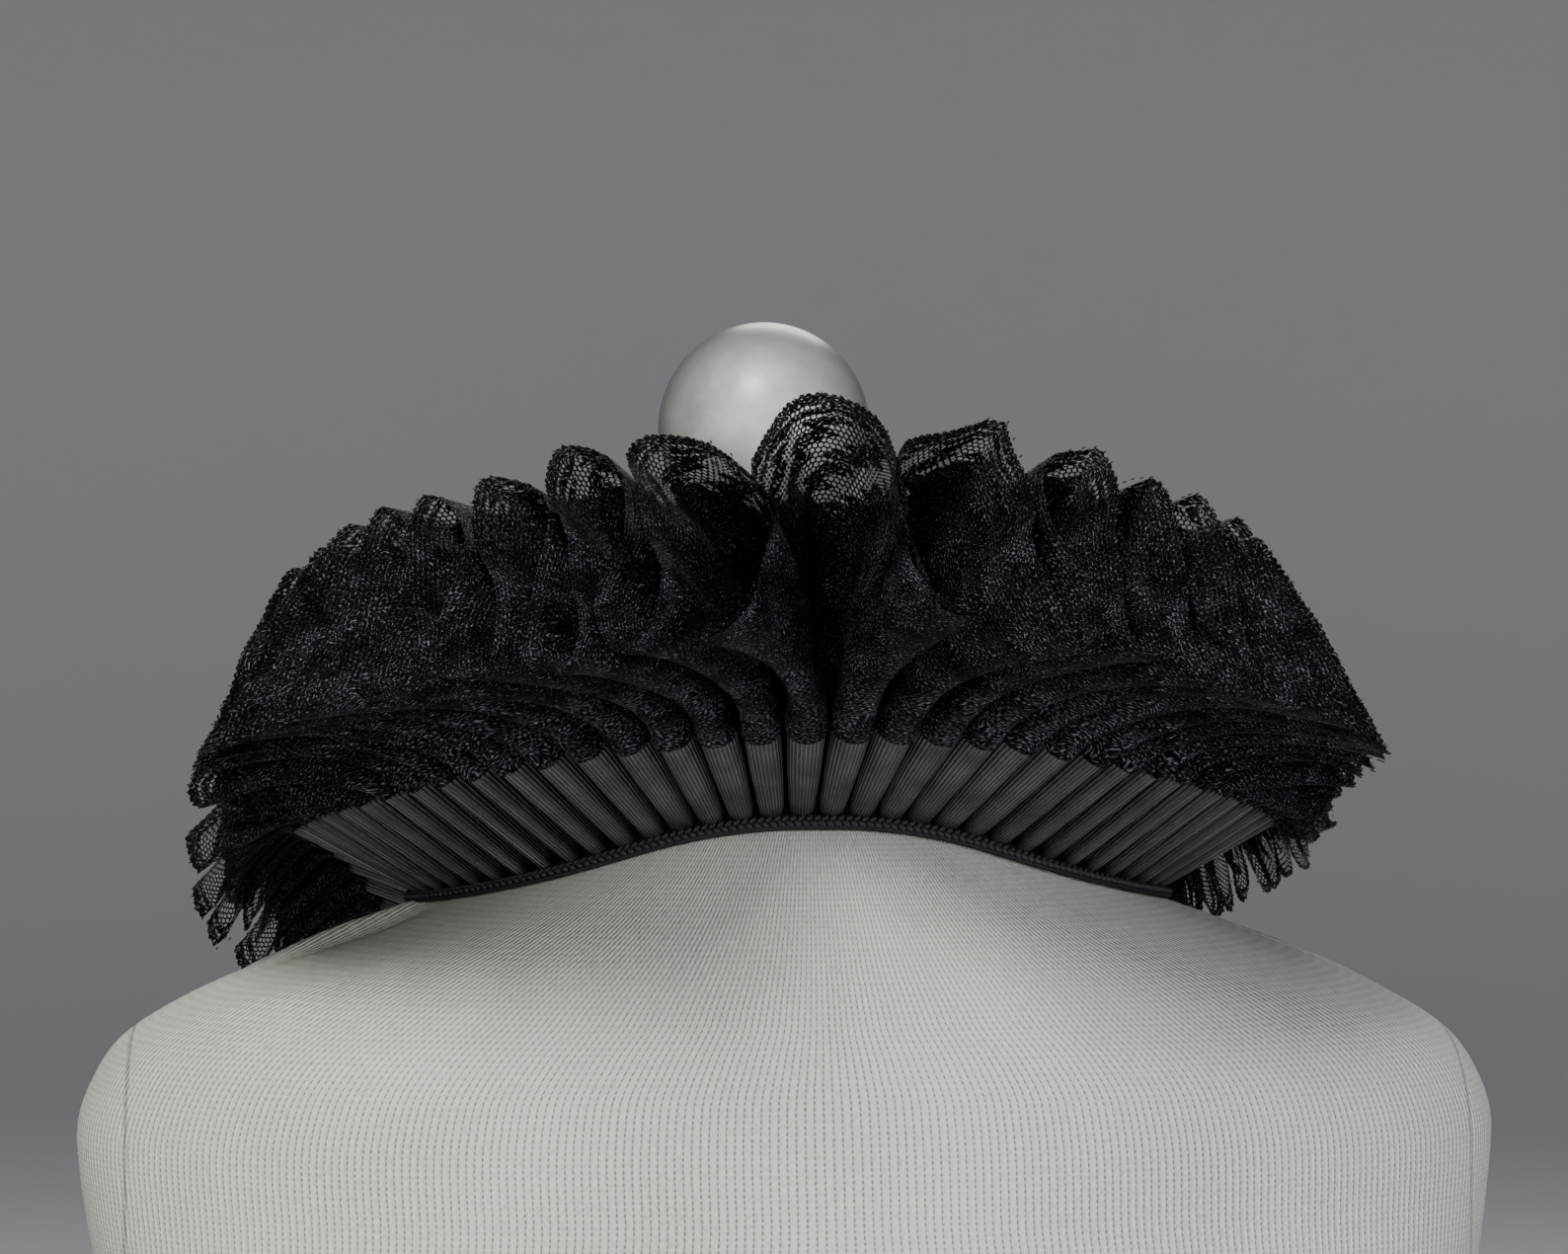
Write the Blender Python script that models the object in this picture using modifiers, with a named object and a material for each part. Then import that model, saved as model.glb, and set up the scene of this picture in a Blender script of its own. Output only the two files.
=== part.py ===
"""A black ruff collar of pleated ribbon and lace, resting on a limbless dress form.

Frame: +Z up, origin at the middle of the form's flat base. The wearer's back faces -Y and the
wearer's front +Y. Sizes in the tables are millimetres, measured from the nape, where the collar's
foot crosses the centre back. Everything else is metres.
"""
import math

import bmesh
import bpy
import numpy as np

MM = 0.001

# Driving dimensions
NAPE_HEIGHT = 0.420          # the collar's foot at the nape above the flat base
RIBBON_WIDTH = 0.038         # grosgrain ribbon, neck edge to lace seam
LACE_WIDTH = 0.085           # lace edging, seam to scalloped edge
PLEATS = 80                  # organ pleats round the whole neck
PLEAT_DEPTH = 0.013          # how far a pleat reaches in over the tape at its foot
CLOTH = 0.001                # thickness of every cloth wall
SEAM_GAP = 0.0003            # pieces that touch on the real collar stand this far apart
TAPE_CLEARANCE = 0.0009      # tape above the curved form, so that their facets never meet
FOOT_CLEARANCE = 0.0008      # pleats' feet above the tape, for the same reason
EDGE_CLEARANCE = 0.0006      # each edge of the seam back from its line, for the same reason
TAPE_SHOWS = 0.003           # tape left showing beyond the pleats' feet
TAPE_HIDDEN = 0.001          # tape reaching in past the pleats' inner folds
RING_SIDE = 0.100            # collar's foot in plan, from the middle to the shoulder
RING_BACK = 0.062            # ... to the nape
RING_FRONT = 0.082           # ... to the breast bone

# Steps of the solids
TORSO_SIDES = 36
TURNED_SIDES = 24
BALL_STEPS = 12
PLAIN_STEPS = (25, 90, 155)          # degrees of a pleat's turn at the points up one wall
ROUND_STEPS = (22, 64, 116, 158)     # ... on the wide pleats at the back of the neck
ROUND_PLEATS = 6                     # wide pleats to each side of centre back
RIBBON_ROWS = 2
LACE_ROWS = 4
TAPE_STEPS_PER_PLEAT = 2
TAPE_ROWS = 3
RING_SAMPLES_PER_PLEAT = 4
HAIR_ACROSS = 0.0001         # step for finding slopes across a piece
SHARPEST_CORNER = 0.5        # keeps a tight fold's corner from running out to a spike

# The ball and its seat on the neck cap
BALL_RADIUS = 0.029
BALL_CENTRE = (-0.005, 0.022, NAPE_HEIGHT + 0.103)
CAP_THICKNESS = 0.004
CAP_MARGIN = 0.004
STEM_RADIUS = 0.010
FLARE_RADIUS = 0.017

COLLAR_ZONE = (-96, 12)      # heights between which the form's sections are set closer

FORM_COLUMNS = ("height", "half_width", "widest_y", "back", "front", "power")
FORM_SECTIONS = (
    (-420, 118, 4, 80, 82, 2.1),
    (-408, 117, 4, 79, 81, 2.1),
    (-385, 119, 4, 80, 84, 2.1),
    (-330, 134, 2, 90, 98, 2.2),
    (-260, 156, 0, 101, 115, 2.3),
    (-200, 172, 0, 106, 121, 2.4),
    (-150, 180, 0, 107, 111, 2.5),
    (-120, 184, 0, 104, 97, 2.5),
    (-96, 188, 0, 99, 82, 2.4),
    (-84, 189, 0, 96, 74, 2.4),
    (-70, 185, 0, 93, 66, 2.4),
    (-59, 177, 0, 90, 61, 2.3),
    (-49, 161, 0, 86, 58, 2.2),
    (-39, 138, 0, 82, 56, 2.2),
    (-30, 114, 0, 78, 55, 2.25),
    (-22, 95, 1, 75, 54, 2.3),
    (-12, 76, 2, 71, 53, 2.35),
    (-5, 67, 3, 68, 52, 2.3),
    (0, 61, 5, 66, 51, 2.2),
    (6, 56, 6, 60, 50, 2.1),
    (12, 53, 7, 55, 49, 2.0),
    (22, 50, 9, 51, 48, 2.0),
    (40, 49, 13, 49, 48, 2.0),
    (66, 48, 18, 48, 47, 2.0),
)

# The ribbon's lean, alike on both sides: turn is its heading in plan, 0 at centre back and
# 180 at centre front, and rise its slope above the horizontal.
RIBBON_COLUMNS = ("pleat", "turn", "outer_rise", "inner_rise")
RIBBON_LEAN = (
    (0.0, 0, 33, 58),
    (0.5, 4, 33, 58),
    (2.5, 18, 33, 60),
    (4.5, 32, 34, 61),
    (6.5, 48, 35, 62),
    (9.5, 69, 37, 63),
    (13.5, 88, 34, 62),
    (16.0, 95, 29, 59),
    (20.0, 106, 22, 55),
    (24.0, 119, 16, 51),
    (28.0, 133, 11, 47),
    (32.0, 147, 8, 44),
    (36.0, 163, 6, 42),
    (40.0, 180, 5, 41),
)

# Where the lace's folds end, by pleats from centre back, minus to the wearer's left. A trough is
# an outer fold that dips, a crest an inner fold that stands up.
FOLD_COLUMNS = ("pleat", "turn", "reach", "height")
TROUGHS = (
    (-40.0, -180, 184, -100),
    (-36.0, -163, 183, -94),
    (-32.0, -147.5, 181, -80),
    (-28.0, -133, 178, -60),
    (-26.0, -126, 175, -48),
    (-24.0, -119.5, 171, -36),
    (-20.0, -106.5, 165, -20),
    (-16.5, -96.5, 162, -10),
    (-14.5, -91, 161, -4),
    (-12.5, -85, 161, 3),
    (-10.5, -77.5, 162, 10),
    (-8.5, -68, 167, 16),
    (-6.5, -56, 175, 21),
    (-5.5, -48, 176, 25),
    (-4.5, -39, 176, 31),
    (-3.5, -31.5, 176, 35),
    (-2.5, -24.5, 176, 36),
    (-1.5, -19, 174, 44),
    (-0.5, -12, 173, 46),
    (-0.15, -6, 172, 49),
    (0.15, -1.5, 171, 52),
    (0.5, 9.7, 171, 54),
    (1.5, 17, 175, 44),
    (2.5, 22.5, 177, 41),
    (3.5, 28.5, 178, 34),
    (4.5, 36, 177, 30),
    (5.5, 44, 175, 25),
    (6.5, 52, 172, 20),
    (8.5, 64, 161, 14),
    (10.5, 74.5, 152, 9),
    (12.5, 83, 150, 4),
    (14.5, 89.5, 149, -1),
    (16.5, 95.5, 149, -6),
    (20.0, 106.5, 149, -14),
    (24.0, 119.5, 151, -26),
    (26.0, 126, 154, -36),
    (28.0, 133, 161, -52),
    (32.0, 147.5, 171, -78),
    (36.0, 163, 179, -94),
    (40.0, 180, 184, -100),
)
CRESTS = (
    (-40.0, -180, 144, -22),
    (-36.0, -163, 143, -19),
    (-32.0, -147.5, 141, -10),
    (-28.0, -133.5, 140, 5),
    (-24.0, -120.5, 140, 21),
    (-20.0, -108.5, 141, 31),
    (-16.0, -98, 141, 39),
    (-13.0, -90, 140, 47),
    (-10.0, -83, 138, 56),
    (-7.0, -69, 136, 68),
    (-6.0, -62, 135, 75),
    (-5.0, -55.7, 133, 79),
    (-4.0, -50, 131, 81),
    (-3.0, -42, 126, 87),
    (-2.0, -33, 121, 93),
    (-1.0, -21.6, 117, 95),
    (0.0, -2, 114, 105),
    (1.0, 16.4, 122, 100),
    (2.0, 28, 131, 93),
    (3.0, 35, 135, 87),
    (4.0, 41, 138, 81),
    (5.0, 46.5, 140, 77),
    (6.0, 52, 139, 72),
    (7.0, 58, 136, 67),
    (10.0, 78, 134, 55),
    (13.0, 87, 134, 48),
    (16.0, 95.5, 135, 40),
    (20.0, 107, 134, 32),
    (24.0, 120, 134, 21),
    (28.0, 133, 136, 5),
    (32.0, 147.5, 140, -10),
    (36.0, 163, 143, -19),
    (40.0, 180, 144, -22),
)

# How far each loop swells sideways past a plain wave, in pleats, at foot, seam and lace edge
SWELL_AT = (0.0, RIBBON_WIDTH, RIBBON_WIDTH + LACE_WIDTH)
SWELL = (0.14, 0.17, 0.24)
LACE_BEND = 0.42             # how long the lace keeps the ribbon's heading before it turns

# Hand-made unevenness of the lace edge: height and turn of one fold against the next
UNEVEN_HEIGHT = 0.0013
UNEVEN_TURN = 0.5

NEAR_BLACK_RIBBON = (0.020, 0.018, 0.019, 1.0)
NEAR_BLACK_LACE = (0.010, 0.011, 0.014, 1.0)
NEAR_BLACK_TAPE = (0.016, 0.015, 0.016, 1.0)
OFF_WHITE = (0.60, 0.57, 0.50, 1.0)
PEARL = (0.72, 0.70, 0.66, 1.0)


def column(table, names, name):
    """One named column of a table, as an array."""
    return np.array([row[names.index(name)] for row in table], dtype=float)


def smooth(at, knots, values):
    """Read a table between its rows on a curve that never swings past them."""
    at = np.clip(np.asarray(at, dtype=float), knots[0], knots[-1])
    run = np.diff(knots)
    rise = np.diff(values) / run
    slope = np.zeros(len(knots))
    slope[0], slope[-1] = rise[0], rise[-1]
    same_way = rise[:-1] * rise[1:] > 0
    mean = (rise[:-1] + rise[1:]) / 2
    least = 3 * np.minimum(np.abs(rise[:-1]), np.abs(rise[1:]))
    slope[1:-1] = np.where(same_way, np.sign(mean) * np.minimum(np.abs(mean), least), 0)
    row = np.clip(np.searchsorted(knots, at, side="right") - 1, 0, len(run) - 1)
    t = (at - knots[row]) / run[row]
    keep = 2 * t ** 3 - 3 * t ** 2 + 1
    return (keep * values[row] + (1 - keep) * values[row + 1]
            + (t ** 3 - 2 * t ** 2 + t) * run[row] * slope[row]
            + (t ** 3 - t ** 2) * run[row] * slope[row + 1])


def read(table, names, name, at):
    return smooth(at, column(table, names, names[0]), column(table, names, name))


def form_excess(x, y, height):
    """Over 1 outside the form's section at this height, under 1 inside it."""
    half_width = read(FORM_SECTIONS, FORM_COLUMNS, "half_width", height) * MM
    power = read(FORM_SECTIONS, FORM_COLUMNS, "power", height)
    from_widest = y - read(FORM_SECTIONS, FORM_COLUMNS, "widest_y", height) * MM
    back = read(FORM_SECTIONS, FORM_COLUMNS, "back", height) * MM
    front = read(FORM_SECTIONS, FORM_COLUMNS, "front", height) * MM
    half_depth = np.where(from_widest < 0, back, front)
    return np.abs(x / half_width) ** power + np.abs(from_widest / half_depth) ** power


def form_top(x, y):
    """Height of the form's surface over a place in plan, by halving the span above the chest."""
    low = np.full(np.shape(x), -110.0)
    high = np.full(np.shape(x), 66.0)
    for _ in range(30):
        middle = (low + high) / 2
        inside = form_excess(x, y, middle) < 1
        low = np.where(inside, middle, low)
        high = np.where(inside, high, middle)
    return NAPE_HEIGHT + low * MM


def ring_plan(angle):
    """The collar's foot in plan, by its angle from centre back."""
    depth = np.where(np.cos(angle) > 0, RING_BACK, RING_FRONT)
    return RING_SIDE * np.sin(angle), -depth * np.cos(angle)


def ring_normal(angle):
    """Unit heading in plan, square to the ring and away from the neck."""
    depth = np.where(np.cos(angle) > 0, RING_BACK, RING_FRONT)
    across, along = np.sin(angle) / RING_SIDE, -np.cos(angle) / depth
    size = np.hypot(across, along)
    return across / size, along / size


def on_slope(angle, inward):
    """A point on the form, a given distance from the ring measured up the form's slope."""
    x, y = ring_plan(angle)
    out_x, out_y = ring_normal(angle)
    height = form_top(x, y)
    step = np.full(np.shape(angle), inward, dtype=float)
    for _ in range(12):
        rise = form_top(x - out_x * step, y - out_y * step) - height
        reached = np.hypot(step, rise)
        step = step * abs(inward) / np.maximum(reached, 1e-9)
    x, y = x - out_x * step, y - out_y * step
    return np.stack([x, y, form_top(x, y)], axis=-1)


def lifted(points, lift):
    """Move points that lie on the form off it, square to its surface."""
    x, y = points[..., 0], points[..., 1]
    fall_x = (form_top(x - MM, y) - form_top(x + MM, y)) / (2 * MM)
    fall_y = (form_top(x, y - MM) - form_top(x, y + MM)) / (2 * MM)
    normal = np.stack([fall_x, fall_y, np.ones_like(x)], axis=-1)
    return points + lift * normal / np.linalg.norm(normal, axis=-1)[..., None]


def ring_table():
    """Pleat stations set out evenly along the ring as it lies on the form."""
    angle = np.linspace(-math.pi, math.pi, PLEATS * RING_SAMPLES_PER_PLEAT * 4 + 1)
    x, y = ring_plan(angle)
    path = np.stack([x, y, form_top(x, y)], axis=-1)
    length = np.concatenate([[0], np.cumsum(np.linalg.norm(np.diff(path, axis=0), axis=1))])
    stations = np.linspace(-PLEATS / 2, PLEATS / 2, PLEATS * RING_SAMPLES_PER_PLEAT + 1)
    even = (stations / PLEATS + 0.5) * length[-1]
    return stations, np.interp(even, length, angle), length[-1]


STATIONS, RING_ANGLES, RING_LENGTH = ring_table()
FOOT_LIFT = TAPE_CLEARANCE + CLOTH + FOOT_CLEARANCE
OUTER_FEET = lifted(on_slope(RING_ANGLES, HAIR_ACROSS), FOOT_LIFT)
INNER_FEET = lifted(on_slope(RING_ANGLES, PLEAT_DEPTH), FOOT_LIFT)


def along_ring(points, at):
    return np.stack([np.interp(at, STATIONS, points[:, k]) for k in range(3)], axis=-1)


def heading(turn, rise):
    """Unit vector from a heading in plan and a slope, both in degrees."""
    turn, rise = np.radians(turn), np.radians(rise)
    return np.stack([np.sin(turn) * np.cos(rise), -np.cos(turn) * np.cos(rise), np.sin(rise)], -1)


def uneven(at, phase):
    """A smooth wander with no period in step with the pleats."""
    return (np.sin(2.37 * at + phase) + np.sin(4.11 * at + 2.3 * phase)) / 2


def fold_end(table, at, phase):
    turn = read(table, FOLD_COLUMNS, "turn", at) + UNEVEN_TURN * uneven(at, phase)
    reach = read(table, FOLD_COLUMNS, "reach", at) * MM
    height = NAPE_HEIGHT + read(table, FOLD_COLUMNS, "height", at) * MM
    height = height + UNEVEN_HEIGHT * uneven(at, phase + 1.7)
    turn = np.radians(turn)
    return np.stack([reach * np.sin(turn), -reach * np.cos(turn), height], axis=-1)


def fold_line(at, across, feet, rise_name, table, phase):
    """A fold from its foot, straight up the ribbon, then on a bend to the lace's edge."""
    side = np.sign(at)
    turn = side * read(RIBBON_LEAN, RIBBON_COLUMNS, "turn", np.abs(at))
    rise = read(RIBBON_LEAN, RIBBON_COLUMNS, rise_name, np.abs(at))
    foot = along_ring(feet, at)
    lean = heading(turn, rise)
    seam = foot + lean * RIBBON_WIDTH
    end = fold_end(table, at, phase)
    chord = np.linalg.norm(end - seam, axis=-1)[..., None]
    bend = seam + lean * chord * LACE_BEND
    t = np.clip((across - RIBBON_WIDTH) / LACE_WIDTH, 0, 1)[..., None]
    lace = (1 - t) ** 2 * seam + 2 * t * (1 - t) * bend + t ** 2 * end
    ribbon = foot + lean * np.minimum(across, RIBBON_WIDTH)[..., None]
    return np.where((across > RIBBON_WIDTH)[..., None], lace, ribbon)


def frill(at, across):
    """A point of the pleated strip: at in pleats from centre back, across in metres from its foot."""
    phase = 2 * math.pi * at
    swell = np.interp(across, SWELL_AT, SWELL)
    station = np.clip(at + swell * np.sin(2 * phase), -PLEATS / 2, PLEATS / 2)
    outer = fold_line(station, across, OUTER_FEET, "outer_rise", TROUGHS, 0.4)
    inner = fold_line(station, across, INNER_FEET, "inner_rise", CRESTS, 2.9)
    inward = (1 + np.cos(phase))[..., None] / 2
    return outer + (inner - outer) * inward


def unit(vectors):
    return vectors / np.linalg.norm(vectors, axis=-1)[..., None]


def skin_offset(surface, at, across, middle):
    """How far the upper skin stands off the middle: square to both facets beside each point."""
    side = surface(at, across + HAIR_ACROSS) - surface(at, across - HAIR_ACROSS)
    step = np.diff(middle, axis=1)
    before = unit(np.cross(np.concatenate([step[:, :1], step], axis=1), side))
    after = unit(np.cross(np.concatenate([step, step[:, -1:]], axis=1), side))
    agree = np.sum(before * after, axis=-1)[..., None]
    return (before + after) / np.maximum(1 + agree, SHARPEST_CORNER) * CLOTH / 2


def triangles(r, c, mirrored):
    """The two triangles of one square of a grid, split along one diagonal or the other."""
    low_left, low_right, high_right, high_left = (r, c), (r, c + 1), (r + 1, c + 1), (r + 1, c)
    if mirrored:
        return (low_left, low_right, high_left), (low_right, high_right, high_left)
    return (low_left, low_right, high_right), (low_left, high_right, high_left)


def wall(name, surface, at, across, material, collection):
    """A closed wall of cloth on a smooth sheet, rows across it and columns along it.

    The squares of a pleat's second wall are split the mirrored way to its first wall's, so that
    walls that lie close have like facets and never meet.
    """
    second_wall = ((at[:-1] + at[1:]) / 2) % 1 > 0.5
    at, across = np.meshgrid(at, across)
    middle = surface(at, across)
    offset = skin_offset(surface, at, across, middle)
    upper, lower = middle + offset, middle - offset
    rows, steps = at.shape
    mesh = bmesh.new()
    skins = [[[mesh.verts.new(p) for p in row] for row in skin] for skin in (upper, lower)]
    for r in range(rows - 1):
        for c in range(steps - 1):
            for corners in triangles(r, c, second_wall[c]):
                mesh.faces.new([skins[0][i][j] for i, j in corners])
                mesh.faces.new([skins[1][i][j] for i, j in reversed(corners)])
    rim = ([(0, c) for c in range(steps)] + [(r, steps - 1) for r in range(1, rows)]
           + [(rows - 1, c) for c in range(steps - 2, -1, -1)]
           + [(r, 0) for r in range(rows - 2, 0, -1)])
    for (r, c), (s, d) in zip(rim, rim[1:] + rim[:1]):
        mesh.faces.new([skins[0][s][d], skins[0][r][c], skins[1][r][c], skins[1][s][d]])
    return finish(name, mesh, material, collection)


def finish(name, mesh, material, collection):
    bmesh.ops.recalc_face_normals(mesh, faces=mesh.faces)
    data = bpy.data.meshes.new(name)
    mesh.to_mesh(data)
    mesh.free()
    data.shade_smooth()
    data.set_sharp_from_angle(angle=math.radians(50))
    data.materials.append(material)
    piece = bpy.data.objects.new(name, data)
    collection.objects.link(piece)
    return piece


def new_material(name, colour, roughness, metallic=0.0):
    material = bpy.data.materials.new(name)
    material.use_nodes = True
    shader = material.node_tree.nodes["Principled BSDF"]
    shader.inputs["Base Color"].default_value = colour
    shader.inputs["Roughness"].default_value = roughness
    shader.inputs["Metallic"].default_value = metallic
    material.diffuse_color = colour
    return material


def pleat_steps():
    """Steps along the frill, from one front end round the back to the other.

    Each pleat has two corners at its outer fold, two at its inner fold and one or two steps up
    each wall. The strip starts and stops at an inner fold's corner, so its ends stand apart.
    """
    steps = []
    for pleat in range(-PLEATS // 2, PLEATS // 2):
        wall_steps = ROUND_STEPS if -ROUND_PLEATS <= pleat < ROUND_PLEATS else PLAIN_STEPS
        for turn in wall_steps + tuple(180 + angle for angle in wall_steps):
            steps.append(pleat + turn / 360)
    return np.array(steps)


def make_ribbon(collection):
    cloth = new_material("grosgrain_ribbon", NEAR_BLACK_RIBBON, 0.55)
    across = np.linspace(0, RIBBON_WIDTH - EDGE_CLEARANCE, RIBBON_ROWS)
    wall("ribbon_frill", frill, pleat_steps(), across, cloth, collection)


def make_lace(collection):
    cloth = new_material("floral_lace", NEAR_BLACK_LACE, 0.6)
    across = np.linspace(RIBBON_WIDTH + EDGE_CLEARANCE, RIBBON_WIDTH + LACE_WIDTH, LACE_ROWS)
    wall("lace_frill", frill, pleat_steps(), across, cloth, collection)


def tape(at, inward):
    """The braid that the pleats are sewn to, lying on the form under their feet."""
    angles = np.interp(at[0], STATIONS, RING_ANGLES)
    rows = [on_slope(angles, row[0]) for row in inward]
    return lifted(np.stack(rows), TAPE_CLEARANCE + CLOTH / 2)


def make_tape(collection):
    cloth = new_material("neck_braid", NEAR_BLACK_TAPE, 0.7)
    inward = np.linspace(-TAPE_SHOWS, PLEAT_DEPTH + TAPE_HIDDEN, TAPE_ROWS)
    ends = pleat_steps()[[0, -1]]
    at = np.linspace(*ends, PLEATS * TAPE_STEPS_PER_PLEAT + 1)
    wall("neck_tape", tape, at, inward, cloth, collection)


def torso_heights():
    """The sections' heights, with one more between each two where the collar rests."""
    heights = column(FORM_SECTIONS, FORM_COLUMNS, "height")
    between = [(a + b) / 2 for a, b in zip(heights, heights[1:]) if COLLAR_ZONE[0] <= a < COLLAR_ZONE[1]]
    return np.sort(np.concatenate([heights, between]))


def make_torso(collection):
    """The form's body, a loft through its sections, flat below and at the neck."""
    cover = new_material("jersey_cover", OFF_WHITE, 0.85)
    mesh = bmesh.new()
    rings = []
    for height in torso_heights():
        half_width, widest_y, back, front, power = (
            read(FORM_SECTIONS, FORM_COLUMNS, name, height) for name in FORM_COLUMNS[1:])
        ring = []
        for k in range(TORSO_SIDES):
            angle = 2 * math.pi * k / TORSO_SIDES
            across, along = math.sin(angle), -math.cos(angle)
            x = math.copysign(abs(across) ** (2 / power), across) * half_width
            depth = back if along < 0 else front
            y = widest_y + math.copysign(abs(along) ** (2 / power), along) * depth
            ring.append(mesh.verts.new((x * MM, y * MM, NAPE_HEIGHT + height * MM)))
        rings.append(ring)
    for lower, upper in zip(rings, rings[1:]):
        for k in range(TORSO_SIDES):
            j = (k + 1) % TORSO_SIDES
            mesh.faces.new([lower[k], lower[j], upper[j], upper[k]])
    mesh.faces.new(list(reversed(rings[0])))
    mesh.faces.new(rings[-1])
    finish("form_torso", mesh, cover, collection)


def turned(name, profile, centre, material, collection):
    """A turned piece: a profile of radius and height, outer side top to bottom, spun round Z."""
    data = bpy.data.meshes.new(name)
    data.from_pydata([(r, 0, z) for r, z in profile], [(k, k + 1) for k in range(len(profile) - 1)], [])
    piece = bpy.data.objects.new(name, data)
    collection.objects.link(piece)
    piece.location = centre
    screw = piece.modifiers.new("Turn", "SCREW")
    screw.steps = screw.render_steps = TURNED_SIDES
    screw.use_merge_vertices = True
    screw.merge_threshold = 0.00001
    data.materials.append(material)
    return piece


def arc(radius, centre_height, start, stop, steps):
    """Points of a circle's arc, angles in degrees from straight up."""
    angles = [math.radians(start + (stop - start) * k / steps) for k in range(steps + 1)]
    return [(radius * math.sin(a), centre_height + radius * math.cos(a)) for a in angles]


def make_neck_cap(collection):
    """The plain cap on the neck, the stem on it and the pearly ball."""
    pearl = new_material("pearl_lacquer", PEARL, 0.35)
    ball_x, ball_y, ball_z = BALL_CENTRE
    neck = FORM_SECTIONS[-1]
    seat = NAPE_HEIGHT + neck[0] * MM + SEAM_GAP
    cap_radius = neck[1] * MM - CAP_MARGIN
    edge = CAP_THICKNESS / 2
    profile = [(0, CAP_THICKNESS), (cap_radius - edge, CAP_THICKNESS), (cap_radius, edge),
               (cap_radius - edge / 2, 0), (0, 0)]
    turned("neck_cap", profile, (ball_x, ball_y - 0.003, seat), pearl, collection)
    stem_foot = seat + CAP_THICKNESS + SEAM_GAP
    touch = math.degrees(math.asin(STEM_RADIUS / (BALL_RADIUS + SEAM_GAP)))
    dish = arc(BALL_RADIUS + SEAM_GAP, ball_z - stem_foot, 180, 180 - touch, 3)
    stem = dish + [(STEM_RADIUS, (dish[-1][1]) / 2), (FLARE_RADIUS, 0.001), (FLARE_RADIUS, 0), (0, 0)]
    turned("finial_stem", stem, (ball_x, ball_y, stem_foot), pearl, collection)
    turned("ball_finial", arc(BALL_RADIUS, 0, 0, 180, BALL_STEPS), BALL_CENTRE, pearl, collection)


def main():
    for item in list(bpy.data.objects):
        bpy.data.objects.remove(item)
    collection = bpy.data.collections.new("ruff_collar_on_form")
    bpy.context.scene.collection.children.link(collection)
    make_torso(collection)
    make_neck_cap(collection)
    make_tape(collection)
    make_ribbon(collection)
    make_lace(collection)


main()
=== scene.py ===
# %% [markdown]
# # A black ruff collar on a dress form
# The collar is one long strip: grosgrain ribbon with lace sewn to its upper edge. The strip is
# folded into organ pleats, and the pleats' feet are sewn to a narrow braid that lies on the neck
# of a limbless dress form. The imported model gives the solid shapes. This lesson dresses them:
# fine cloth with real ribs, net, flowers, plaits and stitches, then light and a camera.

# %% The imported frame
import math
import bmesh
import bpy
import numpy as np
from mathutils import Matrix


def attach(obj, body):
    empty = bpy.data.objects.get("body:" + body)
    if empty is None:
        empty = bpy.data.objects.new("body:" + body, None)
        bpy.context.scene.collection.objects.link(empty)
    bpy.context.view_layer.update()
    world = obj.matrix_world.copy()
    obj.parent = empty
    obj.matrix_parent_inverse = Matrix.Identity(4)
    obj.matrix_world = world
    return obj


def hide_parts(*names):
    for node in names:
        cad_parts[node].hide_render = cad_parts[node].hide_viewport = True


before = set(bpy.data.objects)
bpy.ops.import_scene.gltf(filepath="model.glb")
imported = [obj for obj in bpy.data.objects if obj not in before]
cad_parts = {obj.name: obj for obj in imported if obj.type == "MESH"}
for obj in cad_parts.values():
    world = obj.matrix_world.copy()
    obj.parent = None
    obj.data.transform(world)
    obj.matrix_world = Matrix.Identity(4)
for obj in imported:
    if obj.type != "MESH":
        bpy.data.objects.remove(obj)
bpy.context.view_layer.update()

MM = 0.001
NAPE_HEIGHT = 0.420


def add_to_scene(name, data):
    thing = bpy.data.objects.new(name, data)
    bpy.context.scene.collection.objects.link(thing)
    return thing


print("nodes in the frame:", sorted(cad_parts))

# %% [markdown]
# ## Camera
# The camera is level with the collar, a metre behind the wearer's neck, and stands a little to
# one side. A long lens keeps the far pleats nearly as large as the near ones. It comes first, so
# that every later piece can be looked at from the right place.

# %% Camera
PICTURE_WIDTH = 1588
FOCAL_PIXELS = 4000
SENSOR_WIDTH = 36
CAMERA_TURN = math.radians(-6)
CAMERA_ASIDE = -0.00175
CAMERA_BACK = -1.062
CAMERA_ABOVE_NAPE = 0.0485

lens = bpy.data.cameras.new("studio_camera")
lens.sensor_width = SENSOR_WIDTH
lens.lens = FOCAL_PIXELS / PICTURE_WIDTH * SENSOR_WIDTH
camera = add_to_scene("studio_camera", lens)
camera.location = (
    CAMERA_ASIDE * math.cos(CAMERA_TURN) - CAMERA_BACK * math.sin(CAMERA_TURN),
    CAMERA_ASIDE * math.sin(CAMERA_TURN) + CAMERA_BACK * math.cos(CAMERA_TURN),
    NAPE_HEIGHT + CAMERA_ABOVE_NAPE)
camera.rotation_euler = (math.radians(90), 0, CAMERA_TURN)
bpy.context.scene.camera = camera
print("camera lens:", round(lens.lens, 1), "mm")

# %% [markdown]
# ## Tables that shape the form and the folds
# A dress form is a loft: a stack of rounded sections, each with its own width and depth. The
# frill is two rows of folds. Troughs are the outer folds and crests the inner ones, and each
# table row says where the lace's edge lies at one fold. Between rows a smooth curve fills in. The
# sizes are in millimetres from the nape, the same ones that the solids are made from. Over the
# shoulders they hold the edge nearer to the seam than the lace is wide, so it measures its full
# width only at the back of the neck.

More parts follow.
